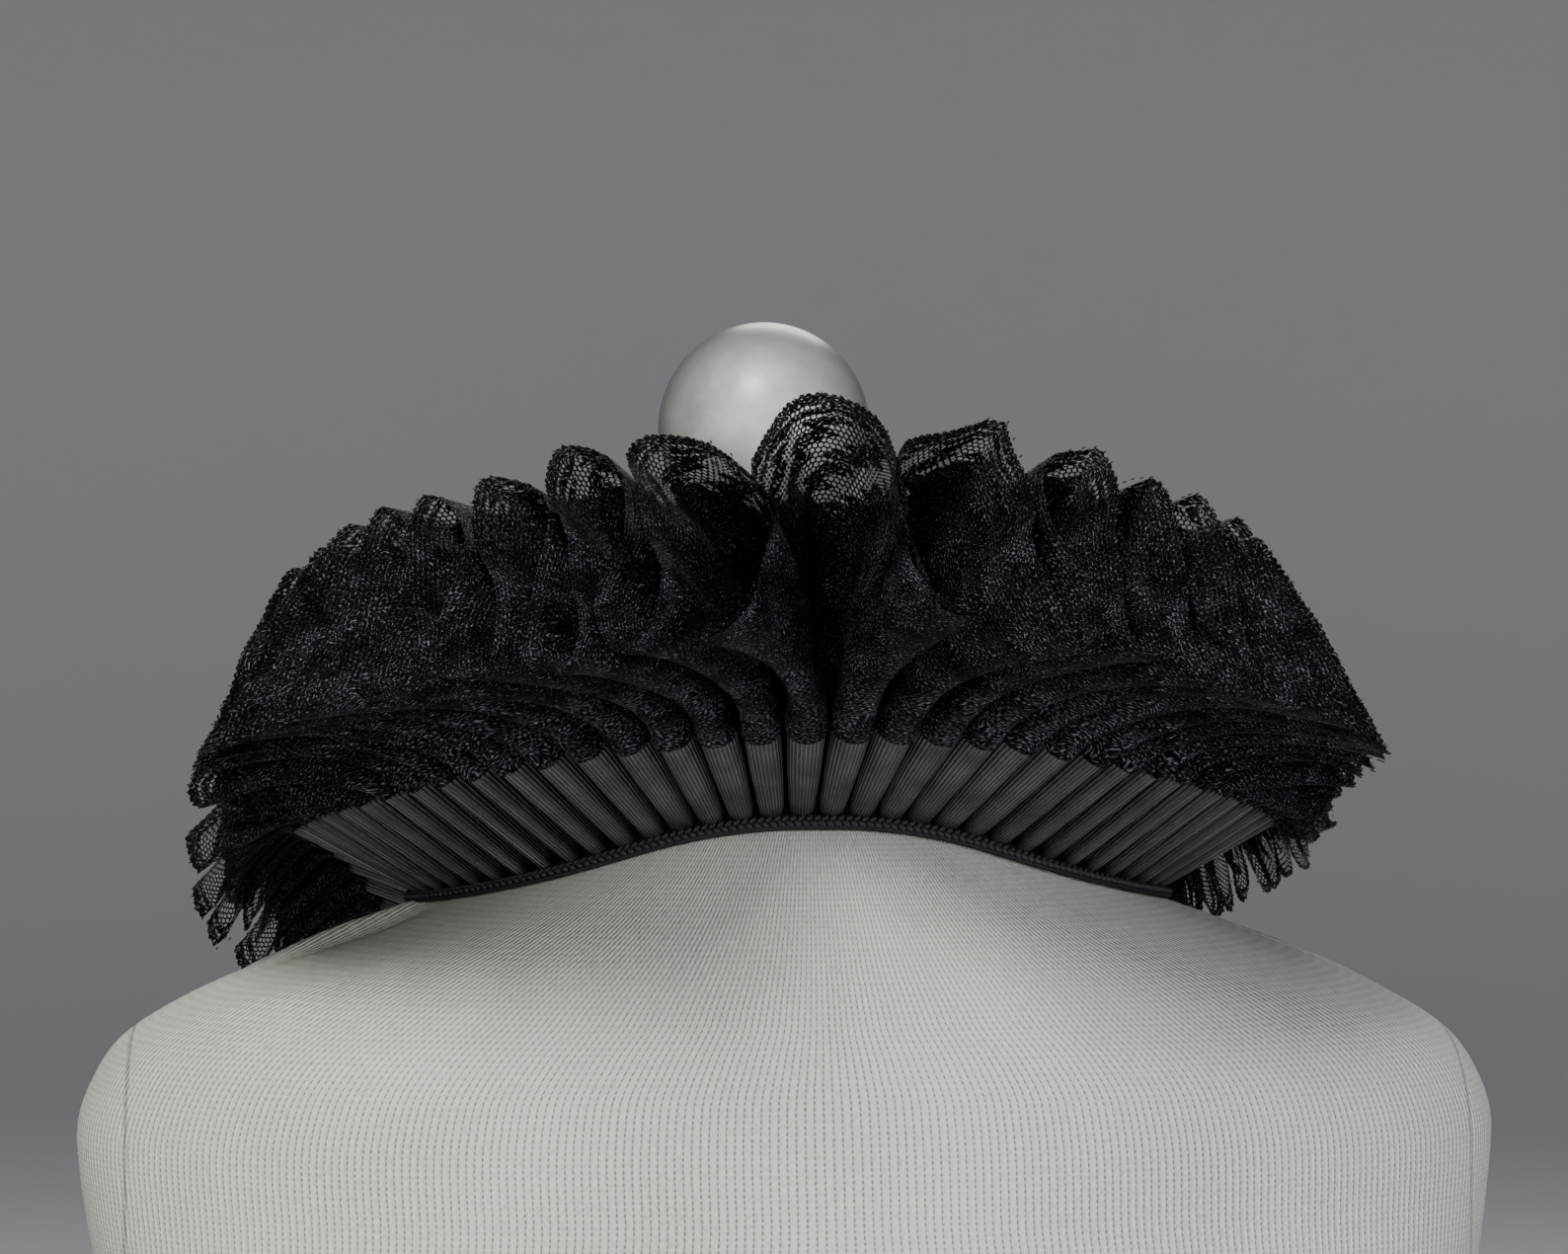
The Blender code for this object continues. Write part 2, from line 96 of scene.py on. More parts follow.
# %% Sizes of the strip and the ring it follows
RIBBON_WIDTH = 0.038
LACE_WIDTH = 0.085
PLEATS = 80
PLEAT_DEPTH = 0.013
RING_SIDE, RING_BACK, RING_FRONT = 0.100, 0.062, 0.082
FOOT_LIFT = 0.0027
TAPE_LIFT = 0.0014
SWELL_AT = (0.0, RIBBON_WIDTH, RIBBON_WIDTH + LACE_WIDTH)
SWELL = (0.14, 0.17, 0.24)
LACE_BEND = 0.42
UNEVEN_HEIGHT = 0.0013
UNEVEN_TURN = 0.5
print("strip:", round((RIBBON_WIDTH + LACE_WIDTH) / MM), "mm wide in", PLEATS, "pleats")

# %% Sections of the form
FORM_COLUMNS = ("height", "half_width", "widest_y", "back", "front", "power")
FORM_SECTIONS = (
    (-420, 118, 4, 80, 82, 2.1),
    (-408, 117, 4, 79, 81, 2.1),
    (-385, 119, 4, 80, 84, 2.1),
    (-330, 134, 2, 90, 98, 2.2),
    (-260, 156, 0, 101, 115, 2.3),
    (-200, 172, 0, 106, 121, 2.4),
    (-150, 180, 0, 107, 111, 2.5),
    (-120, 184, 0, 104, 97, 2.5),
    (-96, 188, 0, 99, 82, 2.4),
    (-84, 189, 0, 96, 74, 2.4),
    (-70, 185, 0, 93, 66, 2.4),
    (-59, 177, 0, 90, 61, 2.3),
    (-49, 161, 0, 86, 58, 2.2),
    (-39, 138, 0, 82, 56, 2.2),
    (-30, 114, 0, 78, 55, 2.25),
    (-22, 95, 1, 75, 54, 2.3),
    (-12, 76, 2, 71, 53, 2.35),
    (-5, 67, 3, 68, 52, 2.3),
    (0, 61, 5, 66, 51, 2.2),
    (6, 56, 6, 60, 50, 2.1),
    (12, 53, 7, 55, 49, 2.0),
    (22, 50, 9, 51, 48, 2.0),
    (40, 49, 13, 49, 48, 2.0),
    (66, 48, 18, 48, 47, 2.0),
)

# %% Lean of the ribbon, and the folds' ends
RIBBON_COLUMNS = ("pleat", "turn", "outer_rise", "inner_rise")
RIBBON_LEAN = (
    (0.0, 0, 33, 58),
    (0.5, 4, 33, 58),
    (2.5, 18, 33, 60),
    (4.5, 32, 34, 61),
    (6.5, 48, 35, 62),
    (9.5, 69, 37, 63),
    (13.5, 88, 34, 62),
    (16.0, 95, 29, 59),
    (20.0, 106, 22, 55),
    (24.0, 119, 16, 51),
    (28.0, 133, 11, 47),
    (32.0, 147, 8, 44),
    (36.0, 163, 6, 42),
    (40.0, 180, 5, 41),
)
FOLD_COLUMNS = ("pleat", "turn", "reach", "height")
TROUGHS = (
    (-40.0, -180, 184, -100),
    (-36.0, -163, 183, -94),
    (-32.0, -147.5, 181, -80),
    (-28.0, -133, 178, -60),
    (-26.0, -126, 175, -48),
    (-24.0, -119.5, 171, -36),
    (-20.0, -106.5, 165, -20),
    (-16.5, -96.5, 162, -10),
    (-14.5, -91, 161, -4),
    (-12.5, -85, 161, 3),
    (-10.5, -77.5, 162, 10),
    (-8.5, -68, 167, 16),
    (-6.5, -56, 175, 21),
    (-5.5, -48, 176, 25),
    (-4.5, -39, 176, 31),
    (-3.5, -31.5, 176, 35),
    (-2.5, -24.5, 176, 36),
    (-1.5, -19, 174, 44),
    (-0.5, -12, 173, 46),
    (-0.15, -6, 172, 49),
    (0.15, -1.5, 171, 52),
    (0.5, 9.7, 171, 54),
    (1.5, 17, 175, 44),
    (2.5, 22.5, 177, 41),
    (3.5, 28.5, 178, 34),
    (4.5, 36, 177, 30),
    (5.5, 44, 175, 25),
    (6.5, 52, 172, 20),
    (8.5, 64, 161, 14),
    (10.5, 74.5, 152, 9),
    (12.5, 83, 150, 4),
    (14.5, 89.5, 149, -1),
    (16.5, 95.5, 149, -6),
    (20.0, 106.5, 149, -14),
    (24.0, 119.5, 151, -26),
    (26.0, 126, 154, -36),
    (28.0, 133, 161, -52),
    (32.0, 147.5, 171, -78),
    (36.0, 163, 179, -94),
    (40.0, 180, 184, -100),
)
CRESTS = (
    (-40.0, -180, 144, -22),
    (-36.0, -163, 143, -19),
    (-32.0, -147.5, 141, -10),
    (-28.0, -133.5, 140, 5),
    (-24.0, -120.5, 140, 21),
    (-20.0, -108.5, 141, 31),
    (-16.0, -98, 141, 39),
    (-13.0, -90, 140, 47),
    (-10.0, -83, 138, 56),
    (-7.0, -69, 136, 68),
    (-6.0, -62, 135, 75),
    (-5.0, -55.7, 133, 79),
    (-4.0, -50, 131, 81),
    (-3.0, -42, 126, 87),
    (-2.0, -33, 121, 93),
    (-1.0, -21.6, 117, 95),
    (0.0, -2, 114, 105),
    (1.0, 16.4, 122, 100),
    (2.0, 28, 131, 93),
    (3.0, 35, 135, 87),
    (4.0, 41, 138, 81),
    (5.0, 46.5, 140, 77),
    (6.0, 52, 139, 72),
    (7.0, 58, 136, 67),
    (10.0, 78, 134, 55),
    (13.0, 87, 134, 48),
    (16.0, 95.5, 135, 40),
    (20.0, 107, 134, 32),
    (24.0, 120, 134, 21),
    (28.0, 133, 136, 5),
    (32.0, 147.5, 140, -10),
    (36.0, 163, 143, -19),
    (40.0, 180, 144, -22),
)
print("folds in the tables:", len(TROUGHS), "troughs,", len(CRESTS), "crests")

# %% [markdown]
# ## Reading the tables
# A monotone cubic curve passes through every row and never swings past it, so a fold can't bulge
# between two rows. The form's surface over a point is found by halving the span of heights until
# the section's edge passes through that point.

# %% Smooth reading and the form's surface
def column(table, names, name):
    return np.array([row[names.index(name)] for row in table], dtype=float)


def smooth(at, knots, values):
    """Read a table between its rows on a curve that never swings past them."""
    at = np.clip(np.asarray(at, dtype=float), knots[0], knots[-1])
    run = np.diff(knots)
    rise = np.diff(values) / run
    slope = np.zeros(len(knots))
    slope[0], slope[-1] = rise[0], rise[-1]
    same_way = rise[:-1] * rise[1:] > 0
    mean = (rise[:-1] + rise[1:]) / 2
    least = 3 * np.minimum(np.abs(rise[:-1]), np.abs(rise[1:]))
    slope[1:-1] = np.where(same_way, np.sign(mean) * np.minimum(np.abs(mean), least), 0)
    row = np.clip(np.searchsorted(knots, at, side="right") - 1, 0, len(run) - 1)
    t = (at - knots[row]) / run[row]
    keep = 2 * t ** 3 - 3 * t ** 2 + 1
    return (keep * values[row] + (1 - keep) * values[row + 1]
            + (t ** 3 - 2 * t ** 2 + t) * run[row] * slope[row]
            + (t ** 3 - t ** 2) * run[row] * slope[row + 1])


def read(table, names, name, at):
    return smooth(at, column(table, names, names[0]), column(table, names, name))


def form_excess(x, y, height):
    """Over 1 outside the form's section at this height, under 1 inside it."""
    half_width = read(FORM_SECTIONS, FORM_COLUMNS, "half_width", height) * MM
    power = read(FORM_SECTIONS, FORM_COLUMNS, "power", height)
    from_widest = y - read(FORM_SECTIONS, FORM_COLUMNS, "widest_y", height) * MM
    back = read(FORM_SECTIONS, FORM_COLUMNS, "back", height) * MM
    front = read(FORM_SECTIONS, FORM_COLUMNS, "front", height) * MM
    half_depth = np.where(from_widest < 0, back, front)
    return np.abs(x / half_width) ** power + np.abs(from_widest / half_depth) ** power


LOWEST_TOP, HIGHEST_TOP = -110.0, 66.0
HALVINGS = 30


def form_top(x, y):
    """Height of the form's surface over a place in plan."""
    low = np.full(np.shape(x), LOWEST_TOP)
    high = np.full(np.shape(x), HIGHEST_TOP)
    for _ in range(HALVINGS):
        middle = (low + high) / 2
        inside = form_excess(x, y, middle) < 1
        low = np.where(inside, middle, low)
        high = np.where(inside, high, middle)
    return NAPE_HEIGHT + low * MM


nape_top = float(form_top(np.array(0.0), np.array(-RING_BACK)))
print("form's top at the nape:", round(nape_top, 4), "m")

# %% [markdown]
# ## The ring under the pleats
# The pleats' feet follow an oval on the sloping shoulders. Stations along it are counted in
# pleats, nought at centre back, so every later formula can say which pleat it means.

# %% Ring, feet and stations
def ring_plan(angle):
    depth = np.where(np.cos(angle) > 0, RING_BACK, RING_FRONT)
    return RING_SIDE * np.sin(angle), -depth * np.cos(angle)


def ring_normal(angle):
    depth = np.where(np.cos(angle) > 0, RING_BACK, RING_FRONT)
    across, along = np.sin(angle) / RING_SIDE, -np.cos(angle) / depth
    size = np.hypot(across, along)
    return across / size, along / size


SLOPE_TRIES = 12


def on_slope(angle, inward):
    """A point on the form, a given distance from the ring measured up the form's slope."""
    x, y = ring_plan(angle)
    out_x, out_y = ring_normal(angle)
    height = form_top(x, y)
    step = np.full(np.shape(angle), inward, dtype=float)
    for _ in range(SLOPE_TRIES):
        rise = form_top(x - out_x * step, y - out_y * step) - height
        reached = np.hypot(step, rise)
        step = step * abs(inward) / np.maximum(reached, 1e-9)
    x, y = x - out_x * step, y - out_y * step
    return np.stack([x, y, form_top(x, y)], axis=-1)


def lifted(points, lift):
    """Move points that lie on the form off it, square to its surface."""
    x, y = points[..., 0], points[..., 1]
    fall_x = (form_top(x - MM, y) - form_top(x + MM, y)) / (2 * MM)
    fall_y = (form_top(x, y - MM) - form_top(x, y + MM)) / (2 * MM)
    normal = np.stack([fall_x, fall_y, np.ones_like(x)], axis=-1)
    return points + lift * normal / np.linalg.norm(normal, axis=-1)[..., None]


def ring_table(samples_per_pleat=4):
    """Pleat stations set out evenly along the ring as it lies on the form."""
    angle = np.linspace(-math.pi, math.pi, PLEATS * samples_per_pleat * 4 + 1)
    x, y = ring_plan(angle)
    path = np.stack([x, y, form_top(x, y)], axis=-1)
    length = np.concatenate([[0], np.cumsum(np.linalg.norm(np.diff(path, axis=0), axis=1))])
    stations = np.linspace(-PLEATS / 2, PLEATS / 2, PLEATS * samples_per_pleat + 1)
    even = (stations / PLEATS + 0.5) * length[-1]
    return stations, np.interp(even, length, angle), length[-1]


STATIONS, RING_ANGLES, RING_LENGTH = ring_table()
OUTER_INSET = 0.0001          # the outer feet stand this far in from the ring
OUTER_FEET = lifted(on_slope(RING_ANGLES, OUTER_INSET), FOOT_LIFT)
INNER_FEET = lifted(on_slope(RING_ANGLES, PLEAT_DEPTH), FOOT_LIFT)
print("ring:", round(RING_LENGTH, 3), "m, a pleat every", round(RING_LENGTH / PLEATS / MM, 1), "mm")

# %% [markdown]
# ## The pleated strip as one formula
# Each fold starts at its foot on the ring, runs straight up the ribbon and then bends to the
# lace's edge. Between an outer and an inner fold the cloth crosses over on a wave, and each loop
# swells sideways past it into a figure of eight, as real organ pleats do. Every piece of the
# strip is cut from this one formula, so seams and stitches meet.

# %% Folds and frill
def crest_share(at):
    """1 on an inner fold, a crest, and 0 on an outer one, a trough."""
    return (1 + np.cos(2 * math.pi * at)) / 2


def trough_share(at):
    return (1 - np.cos(2 * math.pi * at)) / 2


def along_ring(points, at):
    return np.stack([np.interp(at, STATIONS, points[:, k]) for k in range(3)], axis=-1)


def heading(turn, rise):
    turn, rise = np.radians(turn), np.radians(rise)
    return np.stack([np.sin(turn) * np.cos(rise), -np.cos(turn) * np.cos(rise), np.sin(rise)], -1)


def uneven(at, phase):
    """A smooth wander with no period in step with the pleats."""
    return (np.sin(2.37 * at + phase) + np.sin(4.11 * at + 2.3 * phase)) / 2


def fold_end(table, at, phase):
    turn = read(table, FOLD_COLUMNS, "turn", at) + UNEVEN_TURN * uneven(at, phase)
    reach = read(table, FOLD_COLUMNS, "reach", at) * MM
    height = NAPE_HEIGHT + read(table, FOLD_COLUMNS, "height", at) * MM
    height = height + UNEVEN_HEIGHT * uneven(at, phase + 1.7)
    turn = np.radians(turn)
    return np.stack([reach * np.sin(turn), -reach * np.cos(turn), height], axis=-1)


def fold_line(at, across, feet, rise_name, table, phase):
    """A fold from its foot, straight up the ribbon, then on a bend to the lace's edge."""
    side = np.sign(at)
    turn = side * read(RIBBON_LEAN, RIBBON_COLUMNS, "turn", np.abs(at))
    rise = read(RIBBON_LEAN, RIBBON_COLUMNS, rise_name, np.abs(at))
    foot = along_ring(feet, at)
    lean = heading(turn, rise)
    seam = foot + lean * RIBBON_WIDTH
    end = fold_end(table, at, phase)
    chord = np.linalg.norm(end - seam, axis=-1)[..., None]
    bend = seam + lean * chord * LACE_BEND
    t = np.clip((across - RIBBON_WIDTH) / LACE_WIDTH, 0, 1)[..., None]
    lace = (1 - t) ** 2 * seam + 2 * t * (1 - t) * bend + t ** 2 * end
    ribbon = foot + lean * np.minimum(across, RIBBON_WIDTH)[..., None]
    return np.where((across > RIBBON_WIDTH)[..., None], lace, ribbon)


def frill(at, across, swell):
    """A point of the strip: at in pleats from centre back, across in metres from its foot."""
    phase = 2 * math.pi * at
    station = np.clip(at + swell * np.sin(2 * phase), -PLEATS / 2, PLEATS / 2)
    outer = fold_line(station, across, OUTER_FEET, "outer_rise", TROUGHS, 0.4)
    inner = fold_line(station, across, INNER_FEET, "inner_rise", CRESTS, 2.9)
    return outer + (inner - outer) * crest_share(at)[..., None]


centre_edge = frill(np.array([0.0]), np.array([RIBBON_WIDTH + LACE_WIDTH]), np.array([SWELL[-1]]))
print("lace's edge at centre back:", np.round(centre_edge[0], 3), "m")

# %% [markdown]
# ## A thin sheet from a grid
# Cloth is a grid of points with a map of its flat cut: u runs along the strip and v across it,
# both in metres, so a weave drawn on the map has its real size. Solidify gives it two faces and
# an edge.

# %% Cloth from a grid
def unit(vectors):
    return vectors / np.maximum(np.linalg.norm(vectors, axis=-1), 1e-12)[..., None]


def grid_corners(grid):
    """The four corner entries of every cell of a grid, going round it."""
    return np.stack([grid[:-1, :-1], grid[:-1, 1:], grid[1:, 1:], grid[1:, :-1]], axis=2)


def mesh_from_cells(name, points, faces, flat_map):
    """An object whose four-cornered faces carry a flat map, a pair of metres for each corner."""
    mesh = bpy.data.meshes.new(name)
    mesh.vertices.add(len(points))
    mesh.vertices.foreach_set("co", points.reshape(-1))
    mesh.loops.add(faces.size)
    mesh.loops.foreach_set("vertex_index", faces.reshape(-1).astype(np.int32))
    mesh.polygons.add(len(faces))
    mesh.polygons.foreach_set("loop_start", np.arange(0, faces.size, 4, dtype=np.int32))
    mesh.update(calc_edges=True)
    mesh.uv_layers.new(name="flat_cut").data.foreach_set("uv", flat_map.reshape(-1))
    mesh.shade_smooth()
    return add_to_scene(name, mesh)


def sheet_from_grid(name, points, corner_map):
    """An open sheet on a grid of points, rows across the cloth and columns along it."""
    index = np.arange(points.shape[0] * points.shape[1]).reshape(points.shape[:2])
    return mesh_from_cells(name, points.reshape(-1, 3), grid_corners(index).reshape(-1, 4),
                           corner_map)


def ring_from_grid(name, points, girth, rise):
    """A sheet that closes on itself, with the lengths round it and up it for its flat map."""
    rows, columns = points.shape[:2]
    index = np.arange(rows * columns).reshape(rows, columns)
    index = np.concatenate([index, index[:, :1]], axis=1)
    flat_map = np.stack(np.broadcast_arrays(girth[None, :], rise[:, None]), axis=-1)
    return mesh_from_cells(name, points.reshape(-1, 3), grid_corners(index).reshape(-1, 4),
                           grid_corners(flat_map))


def mark_points(sheet, label, values):
    """Give every point of a sheet a number that its finish reads."""
    attribute = sheet.data.attributes.new(label, "FLOAT", "POINT")
    attribute.data.foreach_set("value", values.reshape(-1))


def settle(piece):
    """Turn a piece with its modifiers into a plain mesh."""
    evaluated = piece.evaluated_get(bpy.context.evaluated_depsgraph_get())
    mesh = bpy.data.meshes.new_from_object(evaluated)
    piece.modifiers.clear()
    piece.data = mesh
    return piece


def thicken(piece, thickness):
    solidify = piece.modifiers.new("Thickness", "SOLIDIFY")
    solidify.thickness = thickness
    solidify.offset = 0
    return settle(piece)


def count_triangles(piece):
    return sum(len(polygon.vertices) - 2 for polygon in piece.data.polygons)


def lengths_along(points, axis):
    """Length along a grid's rows or columns, from the first point of each."""
    steps = np.linalg.norm(np.diff(points, axis=axis), axis=-1)
    start = np.zeros_like(np.take(steps, [0], axis=axis))
    return np.concatenate([start, np.cumsum(steps, axis=axis)], axis=axis)


def cloth_normals(points):
    return unit(np.cross(np.gradient(points, axis=1), np.gradient(points, axis=0)))


# %% [markdown]
# ## Writing materials as sums
# A pattern on cloth is arithmetic on the flat map. A small helper turns each sum into one Math
# node, so a net or a flower reads like a formula. Patterns that several cloths use become node
# groups, and only colours, masks and heights leave a group.

# %% Helpers for node trees
class Sums:
    """Writes Math nodes into one tree."""

    def __init__(self, tree):
        self.tree = tree

    def math(self, operation, *values):
        node = self.tree.nodes.new("ShaderNodeMath")
        node.operation = operation
        for socket, value in zip(node.inputs, values):
            if isinstance(value, (int, float)):
                socket.default_value = value
            else:
                self.tree.links.new(value, socket)
        return node.outputs[0]

    def add(self, a, b):
        return self.math("ADD", a, b)

    def less(self, a, b):
        return self.math("SUBTRACT", a, b)

    def times(self, a, b):
        return self.math("MULTIPLY", a, b)

    def over(self, a, b):
        return self.math("DIVIDE", a, b)

    def sine(self, a):
        return self.math("SINE", a)

    def size(self, a):
        return self.math("ABSOLUTE", a)

    def most(self, a, b):
        return self.math("MAXIMUM", a, b)

    def wrap(self, a, period):
        """The remainder of a over a period, shifted to run from minus half of it to half of it."""
        return self.less(self.math("FLOORED_MODULO", a, period), period / 2)

    def below(self, a, edge, soft):
        """1 where a is well under an edge, 0 well over it, a smooth step between."""
        node = self.tree.nodes.new("ShaderNodeMapRange")
        node.interpolation_type = "SMOOTHSTEP"
        self.tree.links.new(a, node.inputs["Value"])
        node.inputs["From Min"].default_value = edge - soft
        node.inputs["From Max"].default_value = edge + soft
        node.inputs["To Min"].default_value = 1
        node.inputs["To Max"].default_value = 0
        return node.outputs["Result"]

    def above(self, a, edge, soft):
        return self.less(1.0, self.below(a, edge, soft))

    def mix(self, share, a, b):
        """b where share is 1, a where it is 0."""
        return self.add(self.times(share, self.less(b, a)), a)

    def noise(self, x, y, detail):
        """A soft cloud pattern read at a place of two sums."""
        place = self.tree.nodes.new("ShaderNodeCombineXYZ")
        self.tree.links.new(x, place.inputs["X"])
        self.tree.links.new(y, place.inputs["Y"])
        cloud = self.tree.nodes.new("ShaderNodeTexNoise")
        cloud.noise_dimensions = "2D"
        cloud.inputs["Scale"].default_value = 1
        cloud.inputs["Detail"].default_value = detail
        self.tree.links.new(place.outputs["Vector"], cloud.inputs["Vector"])
        return cloud.outputs["Fac"]


def number_input(tree, label, default):
    socket = tree.interface.new_socket(label, in_out="INPUT", socket_type="NodeSocketFloat")
    socket.default_value = default


def new_group(name, inputs, outputs):
    """A shader node group of numbers: its inputs with their defaults, and its outputs."""
    tree = bpy.data.node_groups.new(name, "ShaderNodeTree")
    for label, default in inputs.items():
        number_input(tree, label, default)
    for label in outputs:
        tree.interface.new_socket(label, in_out="OUTPUT", socket_type="NodeSocketFloat")
    given, made = (tree.nodes.new(kind) for kind in ("NodeGroupInput", "NodeGroupOutput"))
    return tree, given.outputs, made.inputs


def place_group(tree, group, **values):
    node = tree.nodes.new("ShaderNodeGroup")
    node.node_tree = group
    for label, value in values.items():
        socket = node.inputs[label.replace("_", " ")]
        if isinstance(value, (int, float)):
            socket.default_value = value
        else:
            tree.links.new(value, socket)
    return node.outputs


def new_finish(name, colour, roughness, **constants):
    material = bpy.data.materials.new(name)
    material.use_nodes = True
    shader = material.node_tree.nodes["Principled BSDF"]
    shader.inputs["Base Color"].default_value = (*colour, 1)
    shader.inputs["Roughness"].default_value = roughness
    for label, value in constants.items():
        shader.inputs[label.replace("_", " ")].default_value = value
    return material, material.node_tree, shader


def tint(tree, shader, share, dark, light):
    """Colour a shader between two tones by a share."""
    node = tree.nodes.new("ShaderNodeMix")
    node.data_type = "RGBA"
    tree.links.new(share, node.inputs[0])
    node.inputs[6].default_value = (*dark, 1)
    node.inputs[7].default_value = (*light, 1)
    tree.links.new(node.outputs[2], shader.inputs["Base Color"])


def add_bump(tree, shader, height, distance):
    bump = tree.nodes.new("ShaderNodeBump")
    bump.inputs["Distance"].default_value = distance
    tree.links.new(height, bump.inputs["Height"])
    tree.links.new(bump.outputs["Normal"], shader.inputs["Normal"])


def point_value(tree, label):
    """The number that each point of the cloth carries under this label."""
    node = tree.nodes.new("ShaderNodeAttribute")
    node.attribute_name = label
    return node.outputs["Fac"]


def solid_cloud(tree, scale, **values):
    """A cloud pattern that fills the piece like the grain of a block."""
    place = tree.nodes.new("ShaderNodeTexCoord")
    cloud = tree.nodes.new("ShaderNodeTexNoise")
    cloud.inputs["Scale"].default_value = scale
    for label, value in values.items():
        cloud.inputs[label].default_value = value
    tree.links.new(place.outputs["Object"], cloud.inputs["Vector"])
    return cloud.outputs["Fac"]


def flat_cut(tree):
    """The cloth's own map as two lengths, along and across, in metres."""
    uv = tree.nodes.new("ShaderNodeUVMap")
    uv.uv_map = "flat_cut"
    split = tree.nodes.new("ShaderNodeSeparateXYZ")
    tree.links.new(uv.outputs["UV"], split.inputs["Vector"])
    return split.outputs["X"], split.outputs["Y"]


# %% [markdown]
# ### Thread grain
# Close to, every cloth here is thread: it glints in short dashes, not as one smooth sheen. A
# noise pattern squeezed along one direction makes the dashes. A second one, larger and softer,
# makes the slow change of tone that handling leaves, and it bends the dashes a little, as real
# threads wander.

# %% Group: thread grain
def make_thread_grain():
    tree, given, made = new_group(
        "thread_grain",
        {"Along": 0, "Across": 0, "Dash Length": 0.0016, "Dash Width": 0.0004, "Patch Size": 0.02,
         "Wander": 0.0},
        ("Dashes", "Patches"))
    sums = Sums(tree)
    patches = sums.noise(sums.over(given["Along"], given["Patch Size"]),
                         sums.over(given["Across"], given["Patch Size"]), 1)
    bent = sums.add(given["Across"], sums.times(patches, given["Wander"]))
    dashes = sums.noise(sums.over(given["Along"], given["Dash Length"]),
                        sums.over(bent, given["Dash Width"]), 0)
    tree.links.new(dashes, made["Dashes"])
    tree.links.new(patches, made["Patches"])
    return tree


THREAD_GRAIN = make_thread_grain()
print("group made:", THREAD_GRAIN.name)

# %% [markdown]
# ## Grosgrain ribbon
# Grosgrain is woven with thick filling threads, so it has a rib across its width about every
# millimetre. On the pleats these ribs run up the columns like fluting. The ribbon has little
# shine, but each rib's top catches the light, and the finish also paints the rib tops lighter and
# the furrows between them darker, as painted highlight and painted shade. The ribs are drawn on
# the flat map, so they follow every pleat. A number on each point says how deep in a groove it
# lies, and the finish paints shade there.

# %% Ribbon finish
RIB_PITCH = 0.00098
RIBBON_DARK = (0.003, 0.0028, 0.003)
RIBBON_LIGHT = (0.200, 0.180, 0.208)
RIB_SHARPNESS = 2.2
GROOVE_SHADE_STARTS, GROOVE_SHADE_SOFTNESS = 0.42, 0.34    # where the painted groove shade starts, in groove depths
DASHES_ON_RIBS, HANDLED, UNHANDLED = 0.3, 0.7, 0.2


def make_ribbon_finish():
    material, tree, shader = new_finish("grosgrain_ribbon", RIBBON_LIGHT, 0.42,
                                        Specular_IOR_Level=0.45)
    sums = Sums(tree)
    along, across = flat_cut(tree)
    # the rib's wave paints each rib's top lighter and the furrow beside it darker: painted
    # highlight and painted shade, besides the bump
    wave = sums.times(sums.add(sums.sine(sums.times(along, 2 * math.pi / RIB_PITCH)), 1), 0.5)
    rib = sums.math("POWER", wave, RIB_SHARPNESS)
    # painted shade in the grooves between the columns, read from each point
    out_of_groove_shade = sums.below(point_value(tree, "painted_groove_shade"), GROOVE_SHADE_STARTS, GROOVE_SHADE_SOFTNESS)
    grain = place_group(tree, THREAD_GRAIN, Along=along, Across=across, Dash_Length=0.0003,
                        Dash_Width=0.0012, Patch_Size=0.009)
    height = sums.add(rib, sums.times(grain["Dashes"], DASHES_ON_RIBS))
    tone = sums.times(height, sums.add(sums.times(grain["Patches"], HANDLED), UNHANDLED))
    tint(tree, shader, sums.times(tone, out_of_groove_shade), RIBBON_DARK, RIBBON_LIGHT)
    add_bump(tree, shader, height, 0.0004)
    return material


RIBBON_FINISH = make_ribbon_finish()
print("finish made:", RIBBON_FINISH.name)

# %% [markdown]
# The ribbon itself is the strip's lower part. Its columns are full and round, with only a groove
# between two of them, dark in its own shade and in painted shade, so the loops swell further here
# than in the plain solid. Towards the sides the columns turn away and grow slimmer, and their
# painted groove shade spreads further and is darker.

# %% Ribbon
RIBBON_THICKNESS = 0.0004
FOOT_TUCK = 0.0012            # how far the ribbon's foot reaches down past the ring
END_GAP = 0.07                # how far the strip's two ends stop short of centre front, in pleats
STEPS_PER_PLEAT = 28
RIBBON_ROWS = 9
RIBBON_SHORT = 0.0002         # how far the ribbon's upper edge stops under the seam line
RIBBON_SWELL_AT = (0.0, 0.02, RIBBON_WIDTH)
RIBBON_SWELL = (0.26, 0.30, 0.27)
SLIMMER_OVER, SLIM_SHARE = (4.5, 9.0), 0.55    # the side's columns are slimmer, in pleats
SWELL_EASE = 0.025            # the lace takes over the swell within this height
TURNS_FROM, TURNS_OVER = 2, 7                  # the columns turn away from the back, in pleats
TURNED_SHADE_WIDER, TURNED_SHADE_DARKER = 2.6, 0.28       # what that adds to the painted groove shade


def full_swell(at, across):
    """How far the loops swell: full on the ribbon at the back, easing into the lace's own swell."""
    slim = np.interp(np.abs(at), SLIMMER_OVER, (1, SLIM_SHARE))
    on_ribbon = np.interp(across, RIBBON_SWELL_AT, RIBBON_SWELL) * slim
    on_lace = np.interp(across, SWELL_AT, SWELL)
    share = np.clip((across - RIBBON_WIDTH) / SWELL_EASE, 0, 1)
    return on_ribbon + (on_lace - on_ribbon) * share


def groove_shade_depths(at):
    """Painted groove shade: 0 on a column's outermost line, more towards the inner fold, sooner on
    the sides.
    """
    turned_away = np.clip((np.abs(at) - TURNS_FROM) / TURNS_OVER, 0, 1)
    return crest_share(at) * (1 + TURNED_SHADE_WIDER * turned_away) + TURNED_SHADE_DARKER * turned_away


def strip_steps():
    ends = PLEATS / 2 - END_GAP
    return np.linspace(-ends, ends, PLEATS * STEPS_PER_PLEAT + 1)


